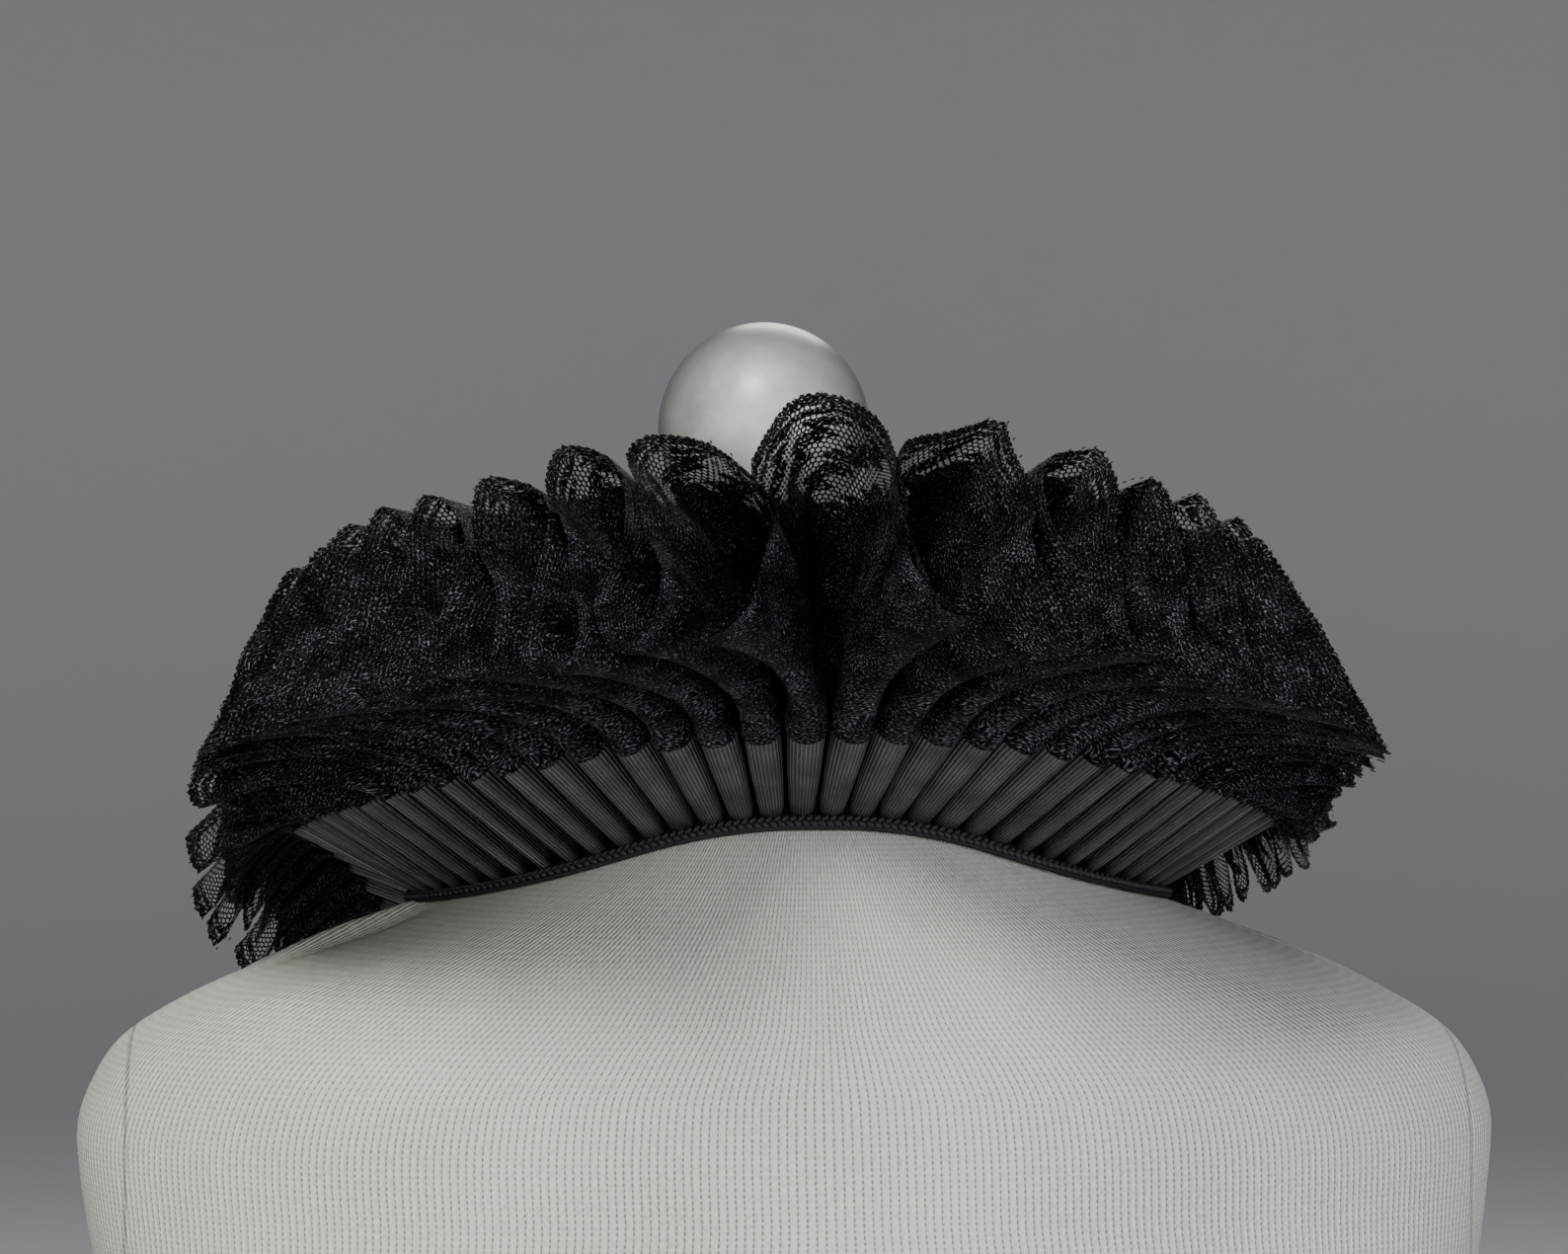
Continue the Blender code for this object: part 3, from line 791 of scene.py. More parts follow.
def make_ribbon():
    rows = np.linspace(-FOOT_TUCK, RIBBON_WIDTH - RIBBON_SHORT, RIBBON_ROWS)
    at, across = np.meshgrid(strip_steps(), rows)
    points = frill(at, across, full_swell(at, across))
    length = lengths_along(points, 1)[len(points) // 2]
    flat_map = np.stack(np.broadcast_arrays(length[None, :], across), axis=-1)
    sheet = sheet_from_grid("pleated_ribbon", points, grid_corners(flat_map))
    # how much painted groove shade each point takes
    mark_points(sheet, "painted_groove_shade", groove_shade_depths(at))
    piece = thicken(sheet, RIBBON_THICKNESS)
    piece.data.materials.append(RIBBON_FINISH)
    return piece


ribbon = make_ribbon()
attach(ribbon, "root")
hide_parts("ribbon_frill")

# %% [markdown]
# ## Floral lace
# The lace is a net of six-sided meshes 1.5 mm across, with leafy sprays, small flowers and dense
# bands of clothwork on it. Cutting every mesh as geometry would need millions of faces, so the
# finish makes the net see-through with Alpha. Near the ribbon the net lies over other folds and
# nothing shows through it, so there it is only drawn.

# %% Group: hexagon net
NET_MESH = 0.0015
NET_THREAD = 0.00034
NET_SOFTNESS = 0.00006


def make_hexagon_net():
    """Two offset grids of centres: the nearer owns a point, with threads at its cell's edge."""
    tree, given, made = new_group("hexagon_net", {"Along": 0, "Across": 0}, ("Threads",))
    sums = Sums(tree)
    tall = NET_MESH * math.sqrt(3)
    ax, ay = sums.wrap(given["Along"], NET_MESH), sums.wrap(given["Across"], tall)
    bx = sums.wrap(sums.add(given["Along"], NET_MESH / 2), NET_MESH)
    by = sums.wrap(sums.add(given["Across"], tall / 2), tall)
    a_far = sums.add(sums.times(ax, ax), sums.times(ay, ay))
    b_far = sums.add(sums.times(bx, bx), sums.times(by, by))
    second = sums.math("GREATER_THAN", a_far, b_far)
    x, y = sums.size(sums.mix(second, ax, bx)), sums.size(sums.mix(second, ay, by))
    slanted = sums.add(sums.times(x, 0.5), sums.times(y, math.sqrt(3) / 2))
    from_edge = sums.less(NET_MESH / 2, sums.most(x, slanted))
    tree.links.new(sums.below(from_edge, NET_THREAD / 2, NET_SOFTNESS), made["Threads"])
    return tree


HEXAGON_NET = make_hexagon_net()
print("group made:", HEXAGON_NET.name)

# %% [markdown]
# The clothwork is drawn from the edge inward: a dense scalloped border, a fine second band, then
# staggered rows of slender leaves that follow the edge, with a six-petalled flower now and then.
# The input Bare makes the leaves and flowers vanish, for the open net at the tips of the side
# folds.

# %% Group: floral clothwork
LEAF_ROW = 0.0047             # between two rows of leaves
LEAF_REPEAT = 0.0175          # between two leaves of a row
LEAF_STAGGER = 0.37           # of a repeat, from row to row
LEAF_HALF_LENGTH = 0.0075
LEAF_HALF_WIDTH = 0.0017
LEAF_CURL, LEAF_CURL_TURN = 0.0009, 2.2
LEAVES_FROM = 0.0072
FLOWER_REPEAT = 0.0525
FLOWER_FROM_EDGE = 0.0225
FLOWER_RADIUS = 0.0068
FLOWER_PETALS = 6
PETAL_DEPTH = 0.24            # of the radius, between two petals
FLOWER_EYE = 0.0012
ROWS_WANDER = 0.0042
BORDER = 0.0026
SECOND_BAND, SECOND_BAND_HALF = 0.0052, 0.0006
SCALLOP, SCALLOP_DEPTH = 0.0042, 0.0008
WORK_SOFTNESS = 0.00012
OUTLINE_HALF, OUTLINE_SOFTNESS = 0.0003, 0.00015


def make_floral_clothwork():
    tree, given, made = new_group(
        "floral_clothwork", {"Along": 0, "From Edge": 0, "Wander": 0, "Bare": 0},
        ("Clothwork", "Outline"))
    sums = Sums(tree)
    along = given["Along"]
    edge = sums.add(given["From Edge"], sums.times(given["Wander"], ROWS_WANDER))
    row = sums.math("FLOOR", sums.over(edge, LEAF_ROW))
    aside = sums.wrap(edge, LEAF_ROW)
    shifted = sums.add(along, sums.times(row, LEAF_REPEAT * LEAF_STAGGER))
    forward = sums.over(sums.wrap(shifted, LEAF_REPEAT), LEAF_HALF_LENGTH)
    curl = sums.times(sums.sine(sums.times(forward, LEAF_CURL_TURN)), LEAF_CURL)
    widest = sums.times(sums.less(1.0, sums.times(forward, forward)), LEAF_HALF_WIDTH)
    leaf = sums.less(widest, sums.size(sums.add(aside, curl)))
    leaf = sums.less(sums.math("MINIMUM", leaf, sums.less(edge, LEAVES_FROM)), given["Bare"])
    flower_x = sums.wrap(along, FLOWER_REPEAT)
    flower_y = sums.less(given["From Edge"], FLOWER_FROM_EDGE)
    squares = sums.add(sums.times(flower_x, flower_x), sums.times(flower_y, flower_y))
    far = sums.math("SQRT", squares)
    lobe = sums.math("COSINE", sums.times(sums.math("ARCTAN2", flower_y, flower_x), FLOWER_PETALS))
    petals = sums.times(sums.add(sums.times(lobe, PETAL_DEPTH), 1 - PETAL_DEPTH), FLOWER_RADIUS)
    flower = sums.math("MINIMUM", sums.less(petals, far), sums.less(far, FLOWER_EYE))
    flower = sums.less(flower, given["Bare"])
    scallop = sums.times(sums.size(sums.sine(sums.times(along, math.pi / SCALLOP))), SCALLOP_DEPTH)
    border = sums.less(sums.add(scallop, BORDER), given["From Edge"])
    band = sums.less(SECOND_BAND_HALF, sums.size(sums.less(edge, SECOND_BAND)))
    inside = sums.most(sums.most(leaf, flower), sums.most(border, band))
    tree.links.new(sums.above(inside, 0.0, WORK_SOFTNESS), made["Clothwork"])
    tree.links.new(sums.below(sums.size(inside), OUTLINE_HALF, OUTLINE_SOFTNESS), made["Outline"])
    return tree


FLORAL_CLOTHWORK = make_floral_clothwork()
print("group made:", FLORAL_CLOTHWORK.name)

# %% [markdown]
# The finish puts net and clothwork together. Alpha opens the net only near the edge. The thread's
# glints are strokes along the gathered net, dimmed by a soft cloud and by each point's fold
# shade, so that the walls deep between two crests stay dark.

# %% Lace finish
LACE_DARK = (0.0010, 0.0011, 0.0014)
LACE_LIGHT = (0.128, 0.138, 0.165)
SQUEEZE = 2.1                 # how much narrower the gathered net's meshes look on the walls
CENTRE_SQUEEZE, CENTRE_HALF_LENGTH = 0.45, 0.078   # the centre's wide loops are hardly gathered
NEAR_SEAM = 0.052             # further in than this the net lies in rows along the strip
CENTRE_SOFTNESS, SEAM_SOFTNESS = 0.008, 0.006
GATHER_WANDER, OPEN_WANDER, SEAM_WANDER = 0.006, 0.030, 0.02
BARE_LEAVES = 0.01            # more than any leaf's half width, so that it vanishes
PIERCED_OVER, PIERCED_SOFTNESS = 0.60, 0.04    # strong dashes pierce the clothwork
OPEN_SOFTNESS = 0.0015
RAGGED_PITCH, RAGGED_DEPTH, RAGGED_SOFTNESS = 0.0021, 0.0007, 0.0001
GLINT_GAIN, GLINT_POWER = 1.55, 7.0
CLOUD_GAIN, CLOUD_POWER, CLOUD_LEAST = 1.5, 1.8, 0.06
NET_ON_WALL, COLUMNS_ON_WALL = 0.45, 0.8       # how brightly threads show on the walls
GLINT_ON_WALL, WALL_LEAST = 0.5, 0.03
NET_IN_ROWS, ROWS_LEAST = 0.35, 0.22           # and in the rows near the seam


def make_lace_finish():
    material, tree, shader = new_finish("floral_lace", LACE_LIGHT, 0.5, Specular_IOR_Level=0.03)
    sums = Sums(tree)
    along, from_edge = flat_cut(tree)
    centre = sums.below(sums.size(along), CENTRE_HALF_LENGTH, CENTRE_SOFTNESS)
    drawn_out = sums.times(along, sums.mix(centre, 1.0, CENTRE_SQUEEZE))
    grain = place_group(tree, THREAD_GRAIN, Along=drawn_out, Across=from_edge, Dash_Length=0.0011,
                        Dash_Width=0.00038, Patch_Size=0.010, Wander=0.009)
    wander = sums.less(grain["Patches"], 0.5)
    net = place_group(tree, HEXAGON_NET, Along=along, Across=from_edge)["Threads"]
    squeeze = sums.mix(centre, SQUEEZE, CENTRE_SQUEEZE)
    gathered = sums.add(sums.times(along, squeeze), sums.times(wander, GATHER_WANDER))
    columns = place_group(tree, HEXAGON_NET, Along=gathered, Across=from_edge)["Threads"]
    bare = sums.times(point_value(tree, "window"), BARE_LEAVES)
    work = place_group(tree, FLORAL_CLOTHWORK, Along=along, From_Edge=from_edge, Wander=wander,
                       Bare=bare)
    dense = sums.most(work["Clothwork"], work["Outline"])
    pierced = sums.times(dense, sums.below(grain["Dashes"], PIERCED_OVER, PIERCED_SOFTNESS))
    past_opening = sums.less(from_edge, point_value(tree, "open_depth"))
    beyond = sums.add(past_opening, sums.times(wander, OPEN_WANDER))
    closed = sums.above(beyond, 0.0, OPEN_SOFTNESS)
    scallops = sums.size(sums.sine(sums.times(along, math.pi / RAGGED_PITCH)))
    ragged = sums.add(from_edge, sums.times(scallops, RAGGED_DEPTH))
    inside_edge = sums.above(ragged, RAGGED_DEPTH, RAGGED_SOFTNESS)
    tree.links.new(sums.times(sums.most(sums.most(net, pierced), closed), inside_edge),
                   shader.inputs["Alpha"])
    glint = sums.math("POWER", sums.times(grain["Dashes"], GLINT_GAIN), GLINT_POWER)
    threads = sums.most(sums.times(net, NET_ON_WALL), sums.times(columns, COLUMNS_ON_WALL))
    on_wall = sums.times(threads, sums.add(sums.times(glint, GLINT_ON_WALL), WALL_LEAST))
    in_rows = sums.times(glint, sums.add(sums.times(net, NET_IN_ROWS), ROWS_LEAST))
    from_seam = sums.add(from_edge, sums.times(wander, SEAM_WANDER))
    strokes = sums.mix(sums.below(from_seam, NEAR_SEAM, SEAM_SOFTNESS), in_rows, on_wall)
    cloudy = sums.math("POWER", sums.times(grain["Patches"], CLOUD_GAIN), CLOUD_POWER)
    clouded = sums.times(strokes, sums.add(cloudy, CLOUD_LEAST))
    tone = sums.times(clouded, point_value(tree, "fold_shade"))
    tint(tree, shader, tone, LACE_DARK, LACE_LIGHT)
    add_bump(tree, shader, sums.add(grain["Dashes"], sums.times(columns, 0.5)), 0.0003)
    return material


LACE_FINISH = make_lace_finish()
print("finish made:", LACE_FINISH.name)

# %% [markdown]
# The lace is the strip's upper part. It overlaps the ribbon by 2 mm and ends at the scalloped
# border. It is softer than the ribbon, so its walls aren't smooth: they ripple, long soft folds
# run down them, and a few larger creases are placed from a table.

# %% Lace: ripples, wall folds and creases
LACE_THICKNESS = 0.0003
LACE_OVERLAP = 0.0022
LACE_PROUD = 0.0006           # how far the lace stands off the ribbon where it overlaps it
RIPPLE = 0.0013
RIPPLE_WAVES = ((7.3, 95, 0), (12.9, -60, 1.3))   # turns per pleat and per metre, and a start
WALL_FOLD, WALL_WAVES = 0.0017, 2.1            # soft folds down each wall, from crest to trough
FOLD_STEP, FOLD_SIDE, FOLD_SLANT = 0.37, 0.23, 0.3   # they differ by pleat, wall and height
TIGHT_OVER, TIGHT_SHARE = (8.5, 12.0), 0.25    # the crowded side walls fold less, in pleats
CREASES = (                   # pleat, from and to up the lace, half width in pleats, depth
    (-7.36, 0.20, 0.90, 0.06, -1.4),
    (-6.18, 0.10, 0.60, 0.07, 1.5),
    (-5.31, 0.35, 0.95, 0.06, -1.7),
    (-4.22, 0.15, 0.75, 0.05, 1.3),
    (-3.69, 0.40, 0.95, 0.06, 1.6),
    (-3.24, 0.10, 0.55, 0.05, -1.2),
    (-2.33, 0.30, 0.90, 0.06, 1.8),
    (-1.72, 0.15, 0.70, 0.05, -1.3),
    (-1.21, 0.45, 0.95, 0.05, 1.5),
    (-0.34, 0.10, 0.60, 0.04, -1.1),
    (0.27, 0.30, 0.85, 0.05, 1.4),
    (0.81, 0.15, 0.65, 0.05, -1.6),
    (1.34, 0.40, 0.95, 0.06, 1.5),
    (1.74, 0.10, 0.60, 0.05, 1.2),
    (2.29, 0.25, 0.85, 0.06, -1.8),
    (2.83, 0.45, 0.95, 0.05, 1.4),
    (3.66, 0.15, 0.70, 0.06, -1.3),
    (4.27, 0.35, 0.90, 0.06, 1.7),
    (5.71, 0.20, 0.80, 0.07, 1.4),
    (7.24, 0.30, 0.95, 0.06, -1.5),
    (17.3, 0.20, 0.90, 0.07, 1.6),
    (24.7, 0.15, 0.80, 0.07, -1.5),
    (33.2, 0.25, 0.90, 0.06, 1.6),
    (-15.6, 0.20, 0.85, 0.07, 1.5),
    (-23.3, 0.30, 0.95, 0.06, -1.6),
    (-34.8, 0.15, 0.80, 0.07, 1.5),
)


def up_the_lace(across):
    return np.clip((across - RIBBON_WIDTH) / LACE_WIDTH, 0, 1)


def wall_folds(at, across):
    """Soft folds that run down the walls, from -1 to 1, and fade out at each crest and trough."""
    out = trough_share(at)
    pleat = np.round(at)
    place = (WALL_WAVES * out + FOLD_STEP * pleat + FOLD_SIDE * np.sign(at - pleat)
             + FOLD_SLANT * up_the_lace(across))
    tight = np.interp(np.abs(at), TIGHT_OVER, (1, TIGHT_SHARE))
    return np.sin(2 * math.pi * place) * np.sqrt(4 * out * (1 - out)) * up_the_lace(across) * tight


def wrinkles(at, across):
    """How far soft lace stands off the plain fold: small ripples and the creases placed by hand."""
    up = up_the_lace(across)
    wave = sum(np.sin(turn * at + climb * across + start) for turn, climb, start in RIPPLE_WAVES)
    off = RIPPLE * up * wave / 2 + WALL_FOLD * wall_folds(at, across)
    for pleat, low, high, half_width, depth in CREASES:
        run = np.clip((up - low) / (high - low), 0, 1)
        off = off + (depth * MM * np.exp(-((at - pleat) / half_width) ** 2)
                     * np.sin(math.pi * run) ** 2)
    return off


print("creases placed by hand:", len(CREASES))

# %% [markdown]
# Near the back each crest lies over towards the middle, and its outer shoulder stands higher than
# its inner one. The two walls beside centre back part into one wide arch over a dark slit. That
# arch has no rule, so a table moves it aside and up, point by point.

# %% Lace: leaning crests and the centre arch
CREST_LEAN = 0.020            # rise from a crest's inner shoulder to its outer one, per pleat
LEAN_FADES, LEAN_EASE = 8.0, 6                 # in pleats
CREST_SHIFT, SHOULDER_SHIFT = 0.0034, 0.0058   # how far a crest and its inner shoulder lie over
SHOULDER_AT, SHOULDER_SPREAD = -0.17, 0.10     # in pleats from the crest, outward
SHIFT_COLUMNS = ("pleat", "aside", "raised")
CENTRE_SHIFTS = (
    (-1.5, 0, 0),
    (-1.25, 0, 0),
    (-1.0, -3, 0),
    (-0.875, -1, -2),
    (-0.75, 16, -5),
    (-0.625, 12, -3),
    (-0.5, 0, 0),
    (-0.375, -9, 3),
    (-0.25, -3, 2),
    (-0.125, 3, 2),
    (0.0, -1, 1),
    (0.125, -3, 1),
    (0.25, 6, 1),
    (0.375, 17, 2),
    (0.5, -3, -2),
    (0.625, -24, -3),
    (0.75, -18, 6),
    (0.875, 0, -2),
    (0.94, 0, -4),
    (1.0, 0, -3),
    (1.06, 1, 0),
    (1.125, -2, -1),
    (1.25, 0, 0),
    (1.5, 0, 0),
)
CREST_DIP, CREST_DIP_AT, CREST_DIP_SPREAD = 0.0014, 0.02, 0.05   # just before its outer corner
CREST_UNEVEN, UNEVEN_EVERY, UNEVEN_START = 0.0028, 2.7, 0.6      # the far crests stand unevenly
FAR_FROM, FAR_OVER = 6, 3                      # in pleats


def crest_lean(at, crest):
    """How far the crests lie over sideways, and stand up or down."""
    outward = np.abs(at) - np.round(np.abs(at))
    fade = np.clip((LEAN_FADES + LEAN_EASE - np.abs(at)) / LEAN_EASE, 0, 1) * (np.abs(at) > 0.5)
    shoulder = SHOULDER_SHIFT * np.exp(-((outward - SHOULDER_AT) / SHOULDER_SPREAD) ** 2)
    aside = -np.sign(at) * (CREST_SHIFT + shoulder) * np.sqrt(crest) * fade
    aside = aside + read(CENTRE_SHIFTS, SHIFT_COLUMNS, "aside", at) * MM
    raised = CREST_LEAN * outward * crest * fade
    raised = raised + read(CENTRE_SHIFTS, SHIFT_COLUMNS, "raised", at) * MM
    dip = CREST_DIP * np.exp(-((outward + CREST_DIP_AT) / CREST_DIP_SPREAD) ** 2) * fade
    return aside, raised - dip


print("rows in the table of the arch:", len(CENTRE_SHIFTS))

# %% [markdown]
# At the sides the collar turns down over the shoulders. There every third outer fold stands out
# as a rounded lobe that hangs open, and the two folds between stay behind it. All of them sag in
# the middle, so that they end level.

# %% Lace: folds over the shoulders
FLANK_FROM, FLANK_TO, FLANK_EASE = 10.5, 26.5, 2.0
LOBE_FIRST, LOBE_EVERY = 11.5, 3.0             # in pleats: every third outer fold stands out
BETWEEN_LOBES = 1.5           # what a cosine over three folds gives at the two between
LOBE_SETBACK = 0.010                           # how far the folds between them stay behind
LOBE_AT, LOBE_NARROWS_AT, LOBE_SPREAD = 0.095, 0.15, 0.065   # its walls, in pleats from its fold
LOBE_NARROWS, LOBE_HALF_HEIGHT, LOBE_SAG = 0.005, 0.0055, 0.006
LOBES_ON_RIGHT = 0.25                          # the right side's folds are shorter
FLANK_FLATTER = 0.008                          # how far these folds sag in the middle
DROP_COLUMNS = ("pleat", "drop")
FLANK_DROPS = ((0, 0), (11.5, 0), (14.5, 4), (17.5, 10), (20.5, 12), (23.5, 11), (26.5, 3),
               (28.5, 0), (40, 0))


def opened_folds(at, crest, flank):
    """How far the side folds stay inward, and how far the walls of a lobe stand up or down."""
    from_fold = np.abs(at) - np.floor(np.abs(at)) - 0.5
    turn = 2 * math.pi * (np.abs(at) - LOBE_FIRST) / LOBE_EVERY
    stays_back = (1 - np.cos(turn)) / BETWEEN_LOBES
    side = np.where(at > 0, LOBES_ON_RIGHT, 1)
    wall = np.exp(-((np.abs(from_fold) - LOBE_AT) / LOBE_SPREAD) ** 2)
    narrows = np.exp(-((np.abs(from_fold) - LOBE_NARROWS_AT) / LOBE_SPREAD) ** 2)
    lobe = np.clip(1 - stays_back, 0, 1) * flank * side
    inward = LOBE_SETBACK * stays_back * (1 - crest) ** 2
    inward = inward * flank * side + LOBE_NARROWS * narrows * lobe
    return inward, (LOBE_HALF_HEIGHT * np.sign(-from_fold) - LOBE_SAG) * wall * lobe


def settled(at, across):
    """How far each place of the lace lies over and stands up or down from the plain fold."""
    up = up_the_lace(across) ** 2
    crest = crest_share(at)
    aside, raised = crest_lean(at, crest)
    flank = (np.clip((np.abs(at) - FLANK_FROM) / FLANK_EASE, 0, 1)
             * np.clip((FLANK_TO - np.abs(at)) / FLANK_EASE, 0, 1))
    inward, opened = opened_folds(at, crest, flank)
    raised = raised + opened
    raised = raised - read(FLANK_DROPS, DROP_COLUMNS, "drop", np.abs(at)) * MM * (1 - crest)
    far = np.clip((np.abs(at) - FAR_FROM) / FAR_OVER, 0, 1)
    uneven_crest = np.sin(2 * math.pi * at / UNEVEN_EVERY + UNEVEN_START)
    raised = raised + CREST_UNEVEN * uneven_crest * crest * far
    turn = np.radians(read(CRESTS, FOLD_COLUMNS, "turn", at))
    east = aside * np.cos(turn) - inward * np.sin(turn)
    north = aside * np.sin(turn) + inward * np.cos(turn)
    off = np.stack([east, north, raised], axis=-1) * up[..., None]
    middle = 4 * np.sqrt(up) * (1 - np.sqrt(up))
    off[..., 2] -= FLANK_FLATTER * middle * flank * (1 - crest)
    return off


print("side folds from pleat", FLANK_FROM, "to", FLANK_TO)

# %% [markdown]
# The flat map of the lace is measured from the nearest fold and inward from the scalloped edge,
# so the border follows the edge however the cloth spreads. Three numbers on each point tell the
# finish how far in the net is open, where the leaves stop, and how much light the fold gets.

# %% Lace: its flat map and what its finish reads
LACE_REPEAT = 0.0525          # how far the lace's pattern moves on from one pleat to the next
OPEN_EVERYWHERE, LOBE_OPEN = 0.0035, 0.016
CREST_SHADE, SHADE_LIFTS, FOLD_GLOW = 0.72, 0.55, 0.55   # shade at a crest, less so at its edge
OPEN_COLUMNS = ("pleat", "depth")
OPEN_DEPTHS = ((0, 32), (0.5, 28), (1, 15), (2, 11), (4, 8), (40, 8))


def lace_map(points):
    """The flat map of every corner. Each half of a wall is measured from its own fold."""
    along = lengths_along(points, 1)
    down = lengths_along(points, 0)
    from_edge = down[-1:] - down
    step = np.arange(points.shape[1])
    crest = np.round(step / STEPS_PER_PLEAT).astype(int) * STEPS_PER_PLEAT
    half = STEPS_PER_PLEAT // 2
    trough = np.clip(np.round((step - half) / STEPS_PER_PLEAT).astype(int) * STEPS_PER_PLEAT + half,
                     0, points.shape[1] - 1)
    maps = []
    for fold in (crest, trough):
        place = along - along[:, fold] + fold / STEPS_PER_PLEAT * LACE_REPEAT
        maps.append(grid_corners(np.stack([place, from_edge], axis=-1)))
    middle = (step[:-1] % STEPS_PER_PLEAT) + 0.5
    near_crest = (middle < half / 2) | (middle > STEPS_PER_PLEAT - half / 2)
    return np.where(near_crest[None, :, None, None], maps[0], maps[1])


def on_flank(at):
    return (np.abs(at) > FLANK_FROM) & (np.abs(at) < FLANK_TO)


def lobe_windows(at):
    """1 at the tip of each fold over the shoulders, where the net has no leaves on it."""
    return trough_share(at) ** 4 * on_flank(at)


def open_depths(at):
    """How far in from the edge the net is open: deep in the arch, little elsewhere."""
    deepest = np.interp(np.abs(at), column(OPEN_DEPTHS, OPEN_COLUMNS, "pleat"),
                        column(OPEN_DEPTHS, OPEN_COLUMNS, "depth")) * MM
    return OPEN_EVERYWHERE + deepest * crest_share(at) ** 3 + LOBE_OPEN * lobe_windows(at)


def fold_shades(at, across):
    """1 on the outer folds, less down between the walls of a crest, where little light comes."""
    lifts = 1 - SHADE_LIFTS * up_the_lace(across) ** 2
    shade = 1 - CREST_SHADE * crest_share(at) ** 0.8 * lifts
    return shade * (1 + FOLD_GLOW * wall_folds(at, across))


print("depth of open net at centre back:", round(float(open_depths(np.array(0.0))), 4), "m")

# %% Lace
LACE_ROWS = 18
SEAM_ROWS = (-LACE_OVERLAP, -0.0004)           # rows on the ribbon, from the seam
FIRST_ROW, PROUD_TO = 0.003, 0.006             # above the seam


def make_lace():
    rows = np.concatenate([[RIBBON_WIDTH + below for below in SEAM_ROWS],
                           np.linspace(RIBBON_WIDTH + FIRST_ROW, RIBBON_WIDTH + LACE_WIDTH,
                                       LACE_ROWS)])
    at, across = np.meshgrid(strip_steps(), rows)
    points = frill(at, across, full_swell(at, across))
    proud = LACE_PROUD * np.clip(1 - (across - RIBBON_WIDTH) / PROUD_TO, 0, 1)
    points = points + cloth_normals(points) * (wrinkles(at, across) + proud)[..., None]
    points = points + settled(at, across)
    sheet = sheet_from_grid("pleated_lace", points, lace_map(points))
    mark_points(sheet, "open_depth", open_depths(at))
    mark_points(sheet, "fold_shade", fold_shades(at, across))
    mark_points(sheet, "window", lobe_windows(at))
    piece = thicken(sheet, LACE_THICKNESS)
    piece.data.materials.append(LACE_FINISH)
    return piece


lace = make_lace()
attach(lace, "root")
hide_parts("lace_frill")

# %% [markdown]
# ## Small shapes in rows
# Stitches, picots and the braid's plaits are one small shape set many times along a path. A
# Geometry Nodes tree does it: a seed point for each place carries its two directions, a small
# rounded shape is set on every point, and Realize Instances makes it one mesh with its material.

# %% Geometry Nodes: a small shape on every point
def make_shape_setter():
    tree = bpy.data.node_groups.new("set_small_shapes", "GeometryNodeTree")
    tree.interface.new_socket("Geometry", in_out="INPUT", socket_type="NodeSocketGeometry")
    for label, default in (("Length", 0.0016), ("Width", 0.0004), ("Height", 0.0004)):
        number_input(tree, label, default)
    tree.interface.new_socket("Finish", in_out="INPUT", socket_type="NodeSocketMaterial")
    tree.interface.new_socket("Geometry", in_out="OUTPUT", socket_type="NodeSocketGeometry")
    nodes, links = tree.nodes, tree.links
    given, made = nodes.new("NodeGroupInput").outputs, nodes.new("NodeGroupOutput").inputs
    shape = nodes.new("GeometryNodeMeshUVSphere")
    shape.inputs["Segments"].default_value = 8
    shape.inputs["Rings"].default_value = 5
    shape.inputs["Radius"].default_value = 0.5
    sizes = nodes.new("ShaderNodeCombineXYZ")
    for axis, label in zip("XYZ", ("Length", "Width", "Height")):
        links.new(given[label], sizes.inputs[axis])
    turned_along, turned_up = (nodes.new("FunctionNodeAlignRotationToVector") for _ in range(2))
    for node, axis, label in ((turned_along, "X", "along"), (turned_up, "Z", "up")):
        direction = nodes.new("GeometryNodeInputNamedAttribute")
        direction.data_type = "FLOAT_VECTOR"
        direction.inputs["Name"].default_value = label
        node.axis = axis
        links.new(direction.outputs["Attribute"], node.inputs["Vector"])
    turned_up.pivot_axis = "X"
    links.new(turned_along.outputs["Rotation"], turned_up.inputs["Rotation"])
    setter = nodes.new("GeometryNodeInstanceOnPoints")
    links.new(given["Geometry"], setter.inputs["Points"])
    links.new(shape.outputs["Mesh"], setter.inputs["Instance"])
    links.new(turned_up.outputs["Rotation"], setter.inputs["Rotation"])
    links.new(sizes.outputs["Vector"], setter.inputs["Scale"])
    realized = nodes.new("GeometryNodeRealizeInstances")
    links.new(setter.outputs["Instances"], realized.inputs["Geometry"])
    smooth_shading = nodes.new("GeometryNodeSetShadeSmooth")
    links.new(realized.outputs["Geometry"], smooth_shading.inputs["Geometry"])
    finish = nodes.new("GeometryNodeSetMaterial")
    links.new(smooth_shading.outputs["Geometry"], finish.inputs["Geometry"])
    links.new(given["Finish"], finish.inputs["Material"])
    links.new(finish.outputs["Geometry"], made["Geometry"])
    return tree


SHAPE_SETTER = make_shape_setter()
print("tree made:", SHAPE_SETTER.name)


